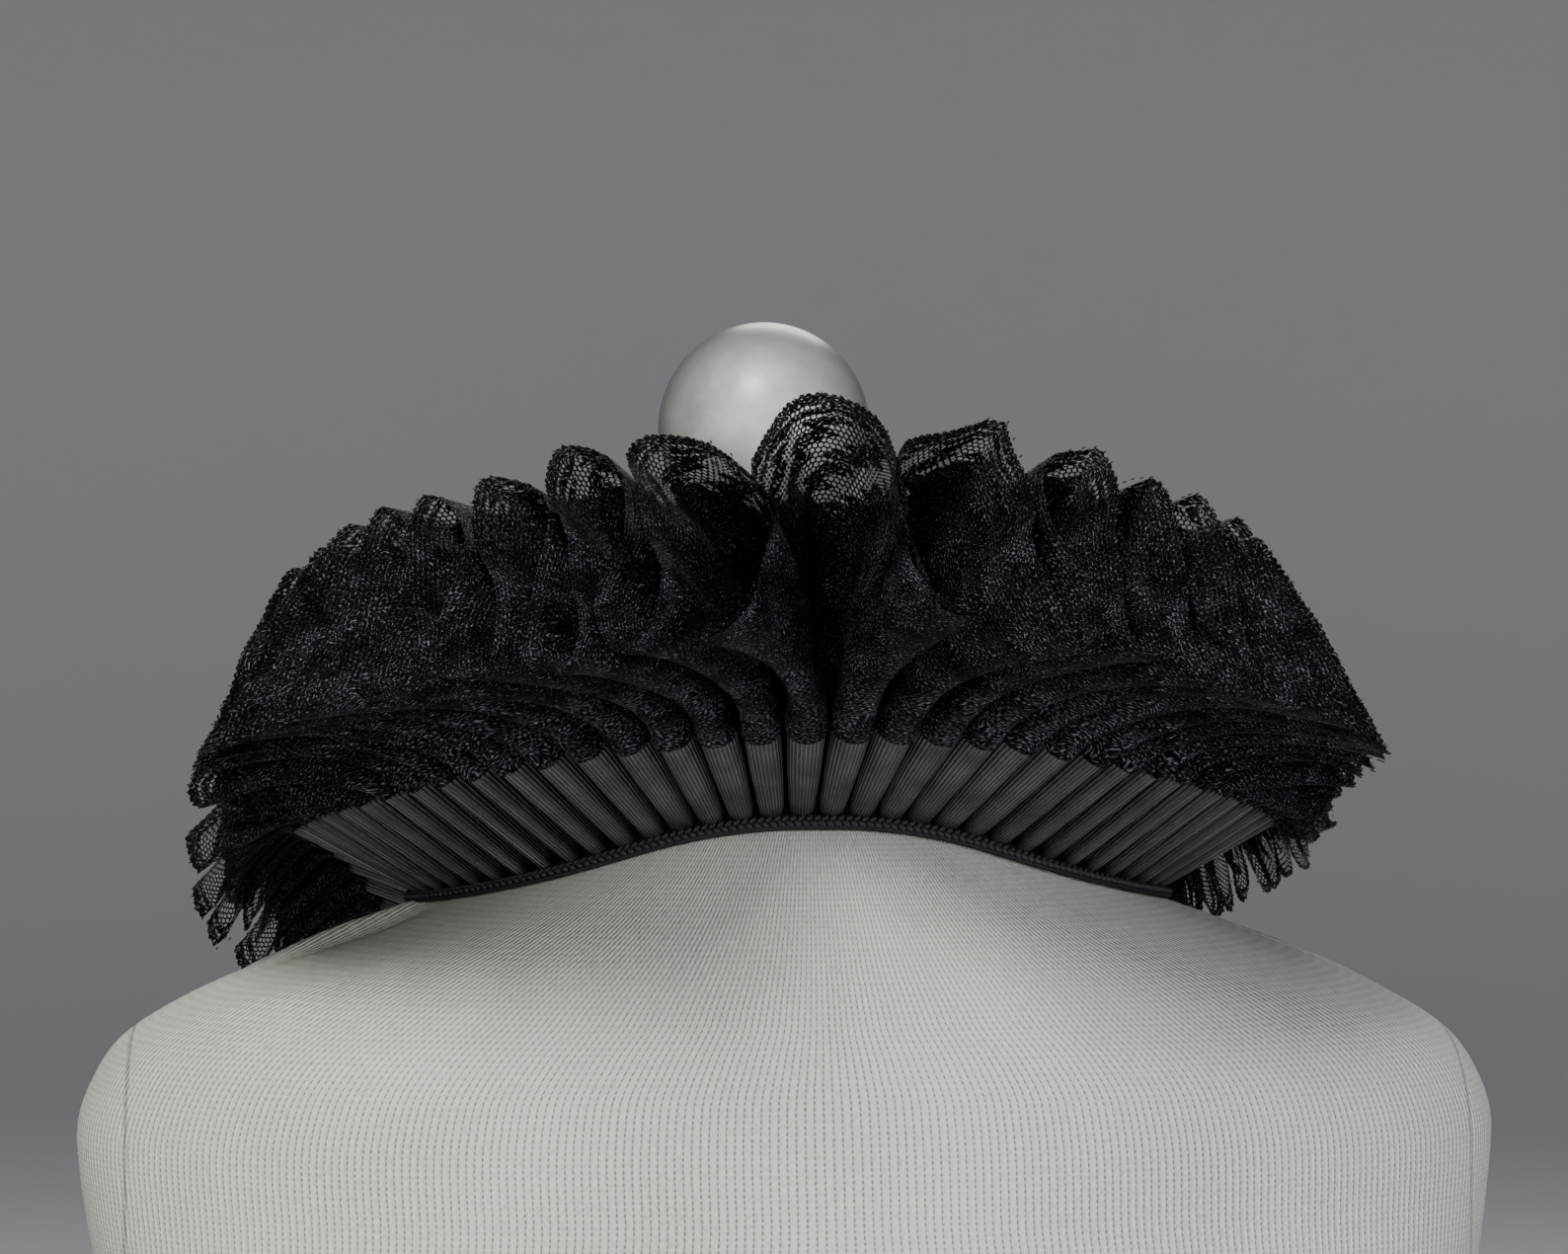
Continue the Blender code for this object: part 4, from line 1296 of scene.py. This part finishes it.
def small_shapes(name, points, along, up, size, finish):
    """Set the small rounded shape on many points, each turned to its own two directions."""
    mesh = bpy.data.meshes.new(name)
    mesh.vertices.add(len(points))
    mesh.vertices.foreach_set("co", points.reshape(-1))
    for label, values in (("along", along), ("up", up)):
        attribute = mesh.attributes.new(label, "FLOAT_VECTOR", "POINT")
        attribute.data.foreach_set("vector", np.ascontiguousarray(values).reshape(-1))
    piece = add_to_scene(name, mesh)
    setter = piece.modifiers.new("Small shapes", "NODES")
    setter.node_group = SHAPE_SETTER
    sockets = {item.name: item.identifier for item in SHAPE_SETTER.interface.items_tree
               if item.in_out == "INPUT"}
    for label, value in zip(("Length", "Width", "Height", "Finish"), (*size, finish)):
        setter[sockets[label]] = value
    settle(piece)
    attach(piece, "root")
    return piece


# %% [markdown]
# ## Neck braid
# The pleats' feet are tacked to a narrow plaited braid that lies on the form. Its base is a flat
# strip in a darker ground, and its plaits are two rows of slanting ovals that meet like the
# plaits of a chain.

# %% Braid
BRAID_OUT, BRAID_IN = 0.003, 0.0145
BRAID_THICKNESS = 0.0008
BRAID_ROWS, BRAID_STEPS = 9, 640
PLAIT_PITCH = 0.0020
PLAIT_SIZE = (0.0027, 0.0014, 0.0015)
PLAIT_ROWS = (0.0004, 0.0018)  # outside the ring
PLAIT_LIFT = 0.0024
PLAIT_SLANT = 0.75
BRAID_DARK = (0.002, 0.002, 0.0025)
BRAID_LIGHT = (0.040, 0.040, 0.046)
BRAID_GROUND = (0.006, 0.006, 0.007)


def make_braid_finish(name, light):
    material, tree, shader = new_finish(name, light, 0.6, Specular_IOR_Level=0.3)
    cloud = solid_cloud(tree, 2600)
    tint(tree, shader, cloud, BRAID_DARK, light)
    add_bump(tree, shader, cloud, 0.0002)
    return material


BRAID_FINISH = make_braid_finish("neck_braid", BRAID_LIGHT)
GROUND_FINISH = make_braid_finish("braid_ground", BRAID_GROUND)


def ring_angles(count):
    """Angles of places set out evenly along the ring, the last one short of the first."""
    return np.interp(np.arange(count) / count * PLEATS - PLEATS / 2, STATIONS, RING_ANGLES)


def make_braid():
    angle = ring_angles(BRAID_STEPS)
    inward = np.linspace(-BRAID_OUT, BRAID_IN, BRAID_ROWS)
    points = np.stack([lifted(on_slope(angle, up), TAPE_LIFT) for up in inward])
    girth = np.concatenate([lengths_along(points, 1)[1], [RING_LENGTH]])
    piece = thicken(ring_from_grid("neck_braid", points, girth, inward), BRAID_THICKNESS)
    piece.data.materials.append(GROUND_FINISH)
    return piece


def make_plaits():
    count = int(RING_LENGTH / PLAIT_PITCH)
    angle = ring_angles(count)
    points, along, up = [], [], []
    for row, outside in enumerate(PLAIT_ROWS):
        place = lifted(on_slope(angle, -outside), PLAIT_LIFT)
        ahead = unit(np.roll(place, -1, axis=0) - np.roll(place, 1, axis=0))
        off_form = unit(place - on_slope(angle, -outside))
        outward = np.cross(ahead, off_form)
        slant = PLAIT_SLANT if row else -PLAIT_SLANT
        points.append(place + ahead * PLAIT_PITCH / 2 * row)
        along.append(unit(ahead + outward * slant))
        up.append(off_form)
    return small_shapes("braid_plaits", np.concatenate(points), np.concatenate(along),
                        np.concatenate(up), PLAIT_SIZE, BRAID_FINISH)


braid = make_braid()
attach(braid, "root")
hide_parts("neck_tape")
plaits = make_plaits()
print("braid:", count_triangles(braid), "triangles, plaits:", count_triangles(plaits))

# %% [markdown]
# ## Stitches and picots
# Two rows of small work finish the strip: slanting stitches hold the lace to the ribbon, and tiny
# picots stand along the lace's border.

# %% Stitches along the seam and picots along the edge
STITCH_SIZE = (0.0019, 0.0003, 0.0003)
STITCH_EVERY = 3              # in steps of the strip
STITCH_SLANT, STITCH_PROUD = 0.5, 0.0002
PICOT_SIZE = (0.0013, 0.00045, 0.0004)
PICOT_INSET = 0.0002
NEAR_ALONG, NEAR_ACROSS = 0.01, 0.002          # steps for finding directions, in pleats and metres


def lace_place(at, across):
    return frill(at, across, full_swell(at, across)) + settled(at, across)


def strip_frames(at, across):
    """Points of the finished lace with their directions along it, across it and off it."""
    points = lace_place(at, across)
    along = unit(lace_place(at + NEAR_ALONG, across) - points)
    over = unit(points - lace_place(at, across - NEAR_ACROSS))
    return points, along, over, unit(np.cross(along, over))


def make_stitches():
    at = strip_steps()[::STITCH_EVERY]
    across = np.full(at.shape, RIBBON_WIDTH - LACE_OVERLAP * 0.6)
    points, along, over, off = strip_frames(at, across)
    return small_shapes("seam_stitches", points + off * (LACE_PROUD + STITCH_PROUD),
                        unit(over + along * STITCH_SLANT), off, STITCH_SIZE, BRAID_FINISH)


def make_picots():
    at = strip_steps()[1:-1]
    across = np.full(at.shape, RIBBON_WIDTH + LACE_WIDTH - PICOT_INSET)
    points, _, over, off = strip_frames(at, across)
    return small_shapes("edge_picots", points, over, off, PICOT_SIZE, BRAID_FINISH)


stitches = make_stitches()
picots = make_picots()
print("stitches:", count_triangles(stitches), "triangles, picots:", count_triangles(picots))

# %% [markdown]
# ## Jersey cover
# The form is covered in off-white knit, pulled up over the shoulders. Its wales, the columns of
# stitches, run from the hem to the neck and close up where the form narrows. A few tucks lie
# along the shoulders, and a seam runs round each covered armhole.

# %% Jersey finish
WALE_PITCH = 0.0019
STITCH_PITCH = 0.0015
ARMHOLE = 0.1745              # from the middle of the form
ARMHOLE_SEAM, ARMHOLE_SOFTNESS = 0.0006, 0.0005
JERSEY_DARK = (0.15, 0.14, 0.12)
JERSEY_LIGHT = (0.52, 0.505, 0.46)
STITCH_SHARE, GROOVE_SHARE = 0.35, 0.65        # of the painted shade between two wales
DASHES_SHARE, PATCHES_SHARE, EVEN_SHARE = 0.45, 0.35, 0.55   # of the cloth's tone
WALE_SHADE_DARKENS, SEAM_DARKENS = 1.15, 0.3
WALE_RISE, DASH_RISE, SEAM_SINKS = 0.3, 0.5, 1.6


def make_jersey_finish():
    material, tree, shader = new_finish("jersey_cover", JERSEY_LIGHT, 0.9, Specular_IOR_Level=0.2)
    sums = Sums(tree)
    along, across = flat_cut(tree)
    grain = place_group(tree, THREAD_GRAIN, Along=along, Across=across, Dash_Length=0.0007,
                        Dash_Width=0.0013, Patch_Size=0.05)
    wale = sums.sine(sums.times(along, 2 * math.pi / WALE_PITCH))
    stitch = sums.sine(sums.times(across, 2 * math.pi / STITCH_PITCH))
    # the furrow between two wales is painted darker, as painted shade in dashes along the stitches
    groove = sums.math("POWER", sums.most(wale, 0.0), 3.0)
    painted_wale_shade = sums.times(groove, sums.add(sums.times(stitch, STITCH_SHARE), GROOVE_SHARE))
    place = tree.nodes.new("ShaderNodeTexCoord")
    split = tree.nodes.new("ShaderNodeSeparateXYZ")
    tree.links.new(place.outputs["Object"], split.inputs["Vector"])
    from_armhole = sums.size(sums.less(sums.size(split.outputs["X"]), ARMHOLE))
    seam = sums.below(from_armhole, ARMHOLE_SEAM, ARMHOLE_SOFTNESS)
    cloth = sums.add(sums.times(grain["Dashes"], DASHES_SHARE),
                     sums.times(grain["Patches"], PATCHES_SHARE))
    darker = sums.add(sums.times(painted_wale_shade, WALE_SHADE_DARKENS), sums.times(seam, SEAM_DARKENS))
    tint(tree, shader, sums.less(sums.add(cloth, EVEN_SHARE), darker), JERSEY_DARK, JERSEY_LIGHT)
    raised = sums.add(sums.times(wale, WALE_RISE), sums.times(grain["Dashes"], DASH_RISE))
    height = sums.less(raised, sums.times(seam, SEAM_SINKS))
    add_bump(tree, shader, height, 0.00035)
    return material


JERSEY_FINISH = make_jersey_finish()
print("finish made:", JERSEY_FINISH.name)

# %% Jersey cover
TUCKS = (                     # x and y of both ends, half width, height
    (-138, -2, -94, -15, 3.2, 2.4),
    (-142, -12, -96, -25, 4.5, -1.3),
    (100, -10, 160, -1, 2.2, 0.9),
    (-60, -84, -22, -92, 6.0, 0.5),
    (64, -82, 118, -70, 8.0, -0.6),
    (-120, -50, -150, -36, 7.0, 0.6),
    (98, 24, 142, 12, 4.0, 1.4),
    (-104, 26, -146, 12, 4.0, 1.5),
)
TUCKS_FROM, TUCKS_OVER = -75, 20               # heights over which the tucks fade in
FORM_SIDES = 240
WIDEST_TOP = -59.0            # the height whose girth sets the wales apart
FORM_STEPS = ((-120, 7.0), (-62, 3.0), (-16, 1.0), (math.inf, 3.0))   # up to a height, a step


def section_ring(heights, sides):
    """Points of the form's sections at many heights."""
    half_width, widest_y, back, front, power = (
        read(FORM_SECTIONS, FORM_COLUMNS, name, heights)[:, None] for name in FORM_COLUMNS[1:])
    angle = 2 * math.pi * np.arange(sides)[None, :] / sides
    across, along = np.sin(angle), -np.cos(angle)
    x = np.sign(across) * np.abs(across) ** (2 / power) * half_width
    depth = np.where(along < 0, back, front)
    y = widest_y + np.sign(along) * np.abs(along) ** (2 / power) * depth
    z = np.broadcast_to(heights[:, None], x.shape)
    return np.stack([x * MM, y * MM, NAPE_HEIGHT + z * MM], axis=-1)


def tuck_heights(points):
    """Soft ridges and troughs of the cover along short lines, given in plan."""
    x, y = points[..., 0] / MM, points[..., 1] / MM
    height_mm = (points[..., 2] - NAPE_HEIGHT) / MM
    on_top = np.clip(height_mm - TUCKS_FROM, 0, TUCKS_OVER) / TUCKS_OVER
    off = np.zeros(x.shape)
    for x0, y0, x1, y1, half_width, height in TUCKS:
        run_x, run_y = x1 - x0, y1 - y0
        t = ((x - x0) * run_x + (y - y0) * run_y) / (run_x ** 2 + run_y ** 2)
        inside = np.clip(t, 0, 1)
        far = np.hypot(x - x0 - inside * run_x, y - y0 - inside * run_y)
        off = off + height * np.exp(-(far / half_width) ** 2) * np.sin(math.pi * inside) ** 0.5
    return off * on_top * MM


def make_jersey():
    low, high = FORM_SECTIONS[0][0], FORM_SECTIONS[-1][0]
    heights = []
    for limit, step in FORM_STEPS:
        heights.append(np.arange(low, min(limit, high), step))
        low = limit
    heights = np.concatenate(heights + [[high]])
    points = section_ring(heights, FORM_SIDES)
    off_form = unit(np.cross(np.roll(points, -1, axis=1) - np.roll(points, 1, axis=1),
                             np.gradient(points, axis=0)))
    points = points + off_form * tuck_heights(points)[..., None]
    widest = section_ring(np.array([WIDEST_TOP]), FORM_SIDES)
    girth = lengths_along(np.concatenate([widest, widest[:, :1]], axis=1), 1)[0]
    rise = lengths_along(points, 0)[:, 0]
    return ring_from_grid("jersey_cover", points, girth, rise)


def close_ends(piece, below=math.inf):
    """Fill the open ends of a loft, only those under a height if one is given."""
    mesh = bmesh.new()
    mesh.from_mesh(piece.data)
    rims = [edge for edge in mesh.edges if edge.is_boundary and edge.verts[0].co.z < below]
    bmesh.ops.holes_fill(mesh, edges=rims, sides=0)
    bmesh.ops.recalc_face_normals(mesh, faces=mesh.faces)
    mesh.to_mesh(piece.data)
    mesh.free()
    piece.data.shade_smooth()


jersey = make_jersey()
close_ends(jersey)
jersey.data.materials.append(JERSEY_FINISH)
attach(jersey, "root")
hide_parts("form_torso")
print("jersey:", count_triangles(jersey), "triangles")

# %% [markdown]
# ## Neck cap, stem and ball
# Three turned wooden pieces close the form's neck. They have a pearly lacquer: pale and mottled,
# with a broad soft highlight, and painted shade that darkens it where the surface turns away.

# %% Pearl lacquer
PEARL_DARK = (0.075, 0.070, 0.064)
PEARL_LIGHT = (0.72, 0.71, 0.68)
PEARL_RIM_SHADE = 1.5               # how quickly the painted shade darkens the lacquer towards its rim


def make_pearl_finish():
    material, tree, shader = new_finish("pearl_lacquer", (0.7, 0.67, 0.62), 0.38, Coat_Weight=0.25,
                                        Coat_Roughness=0.3)
    cloud = solid_cloud(tree, 42, Detail=4, Roughness=0.65)
    sums = Sums(tree)
    # painted shade: the colour darkens towards the rim, where the surface turns away
    facing = tree.nodes.new("ShaderNodeLayerWeight")
    facing.inputs["Blend"].default_value = 0.5
    painted_rim_shade = sums.math("POWER", sums.less(1.0, facing.outputs["Facing"]), PEARL_RIM_SHADE)
    tint(tree, shader, sums.times(cloud, painted_rim_shade), PEARL_DARK, PEARL_LIGHT)
    add_bump(tree, shader, cloud, 0.0004)
    return material


PEARL_FINISH = make_pearl_finish()
print("finish made:", PEARL_FINISH.name)

# %% Turned pieces
BALL_RADIUS = 0.029
BALL_CENTRE = (-0.005, 0.022, NAPE_HEIGHT + 0.103)
CAP_THICKNESS, CAP_RADIUS = 0.004, 0.044
STEM_RADIUS, FLARE_RADIUS = 0.010, 0.017
TURNED_GAP = 0.0003
TURNED_SIDES = 72


def turned(name, node, profile, centre):
    """Spin a profile of radius and height round an upright line, with closed poles."""
    profile = np.array(profile)
    angle = 2 * math.pi * np.arange(TURNED_SIDES) / TURNED_SIDES
    spin = np.stack([np.sin(angle), -np.cos(angle)], axis=-1)
    inner = profile[1:-1]
    rings = np.concatenate([inner[:, None, :1] * spin[None], np.broadcast_to(
        inner[:, None, 1:], (len(inner), TURNED_SIDES, 1))], axis=-1)
    corners = [tuple(point) for point in rings.reshape(-1, 3)]
    corners += [(0, 0, profile[0][1]), (0, 0, profile[-1][1])]
    start, stop, last = len(corners) - 2, len(corners) - 1, (len(inner) - 1) * TURNED_SIDES
    faces = []
    for k in range(TURNED_SIDES):
        following = (k + 1) % TURNED_SIDES
        faces.append((start, k, following))
        faces.append((stop, last + following, last + k))
        for row in range(len(inner) - 1):
            a, b = row * TURNED_SIDES, (row + 1) * TURNED_SIDES
            faces.append((a + k, b + k, b + following, a + following))
    mesh = bpy.data.meshes.new(name)
    mesh.from_pydata([tuple(np.add(corner, centre)) for corner in corners], [], faces)
    mesh.shade_smooth()
    mesh.materials.append(PEARL_FINISH)
    piece = add_to_scene(name, mesh)
    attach(piece, "root")
    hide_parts(node)
    return piece


def arc(radius, height, start, stop, steps):
    """Points of a circle's arc in a profile, its angles in degrees from straight up."""
    angle = np.radians(np.linspace(start, stop, steps + 1))
    return [(radius * math.sin(a), height + radius * math.cos(a)) for a in angle]


def make_finial():
    ball_x, ball_y, ball_z = BALL_CENTRE
    seat = NAPE_HEIGHT + FORM_SECTIONS[-1][0] * MM + TURNED_GAP
    bevel = CAP_THICKNESS / 4
    cap = [(0, CAP_THICKNESS), (CAP_RADIUS - 3 * bevel, CAP_THICKNESS),
           (CAP_RADIUS - bevel, 3.4 * bevel), (CAP_RADIUS, 2 * bevel),
           (CAP_RADIUS - 0.4 * bevel, 0.6 * bevel), (CAP_RADIUS - bevel, 0), (0, 0)]
    foot = seat + CAP_THICKNESS + TURNED_GAP
    touch = math.degrees(math.asin(STEM_RADIUS / (BALL_RADIUS + TURNED_GAP)))
    dish = arc(BALL_RADIUS + TURNED_GAP, ball_z - foot, 180, 180 - touch, 5)
    neck = dish[-1][1] / 2
    flare = [(STEM_RADIUS + (FLARE_RADIUS - STEM_RADIUS) * t ** 2, neck + (0.001 - neck) * t)
             for t in np.linspace(0, 1, 7)]
    turned("neck_cap_turned", "neck_cap", cap, (ball_x, ball_y - 0.003, seat))
    turned("finial_stem_turned", "finial_stem", dish + flare + [(FLARE_RADIUS, 0), (0, 0)],
           (ball_x, ball_y, foot))
    turned("ball_finial_turned", "ball_finial", arc(BALL_RADIUS, 0, 0, 180, 40), BALL_CENTRE)


make_finial()
print("turned pieces: cap, stem and ball")

# %% [markdown]
# ## Studio
# A round pale floor sweeps up into a low wall. The key light stands high behind the wearer, a
# cool light at the right and a faint warm one at the left lift the sides, a low wide fill opens
# the folds and a back light draws the far edge. No lamp shows to the camera. Black cloth shows
# its folds by many soft, faint highlights and not by hard shadows.

# %% Floor and lights
FLOOR_SIDES = 64
FLOOR_COLUMNS = ("radius", "height")
FLOOR_PROFILE = ((0.3, 0.0), (1.2, 0.0), (2.6, 0.0), (3.3, 0.06), (3.9, 0.40), (4.2, 1.0),
                 (4.3, 2.2))


def make_floor():
    """A round floor that rises on a soft sweep into a low wall all the way round."""
    angle = 2 * math.pi * np.arange(FLOOR_SIDES) / FLOOR_SIDES
    radius = column(FLOOR_PROFILE, FLOOR_COLUMNS, "radius")[:, None]
    height = column(FLOOR_PROFILE, FLOOR_COLUMNS, "height")[:, None]
    points = np.stack(
        np.broadcast_arrays(radius * np.sin(angle), -radius * np.cos(angle), height), axis=-1)
    piece = ring_from_grid("studio_floor", points, np.append(angle, 2 * math.pi), radius[:, 0])
    close_ends(piece, 0.1)
    rounding = piece.modifiers.new("Rounding", "SUBSURF")
    rounding.levels = rounding.render_levels = 2
    piece.data.materials.append(new_finish("pale_paper", (0.60, 0.61, 0.63), 0.9)[0])
    settle(piece)


def add_light(name, place, aim, size, power, colour):
    light = bpy.data.lights.new(name, "AREA")
    light.shape = "DISK"
    light.size = size
    light.energy = power
    light.color = colour
    lamp = add_to_scene(name, light)
    lamp.visible_camera = False
    lamp.location = place
    toward = np.array(aim) - np.array(place)
    lamp.rotation_euler = (math.atan2(math.hypot(toward[0], toward[1]), -toward[2]), 0,
                           math.atan2(-toward[0], toward[1]))


make_floor()
COLLAR_MIDDLE = (0.0, 0.0, NAPE_HEIGHT + 0.02)
LIGHTS = (                    # name, place, size, power and colour
    ("key_light", (-0.4, -1.0, 1.6), 0.6, 34, (1.0, 0.985, 0.96)),
    ("cool_light", (1.25, -1.05, 0.68), 0.40, 11, (0.86, 0.88, 1.0)),
    ("warm_light", (-1.2, -1.2, 0.6), 0.45, 4, (1.0, 0.92, 0.84)),
    ("front_fill", (-0.25, -1.7, 0.52), 0.6, 9, (1.0, 1.0, 1.0)),
    ("back_light", (0.3, 1.4, 1.5), 0.8, 10, (1.0, 1.0, 1.0)),
)
for name, place, size, power, colour in LIGHTS:
    add_light(name, place, COLLAR_MIDDLE, size, power, colour)
world = bpy.data.worlds.new("studio_air")
world.use_nodes = True
air = world.node_tree.nodes["Background"].inputs
air["Color"].default_value = (0.75, 0.78, 0.82, 1)
air["Strength"].default_value = 0.16
bpy.context.scene.world = world
print("lights placed:", len(LIGHTS))
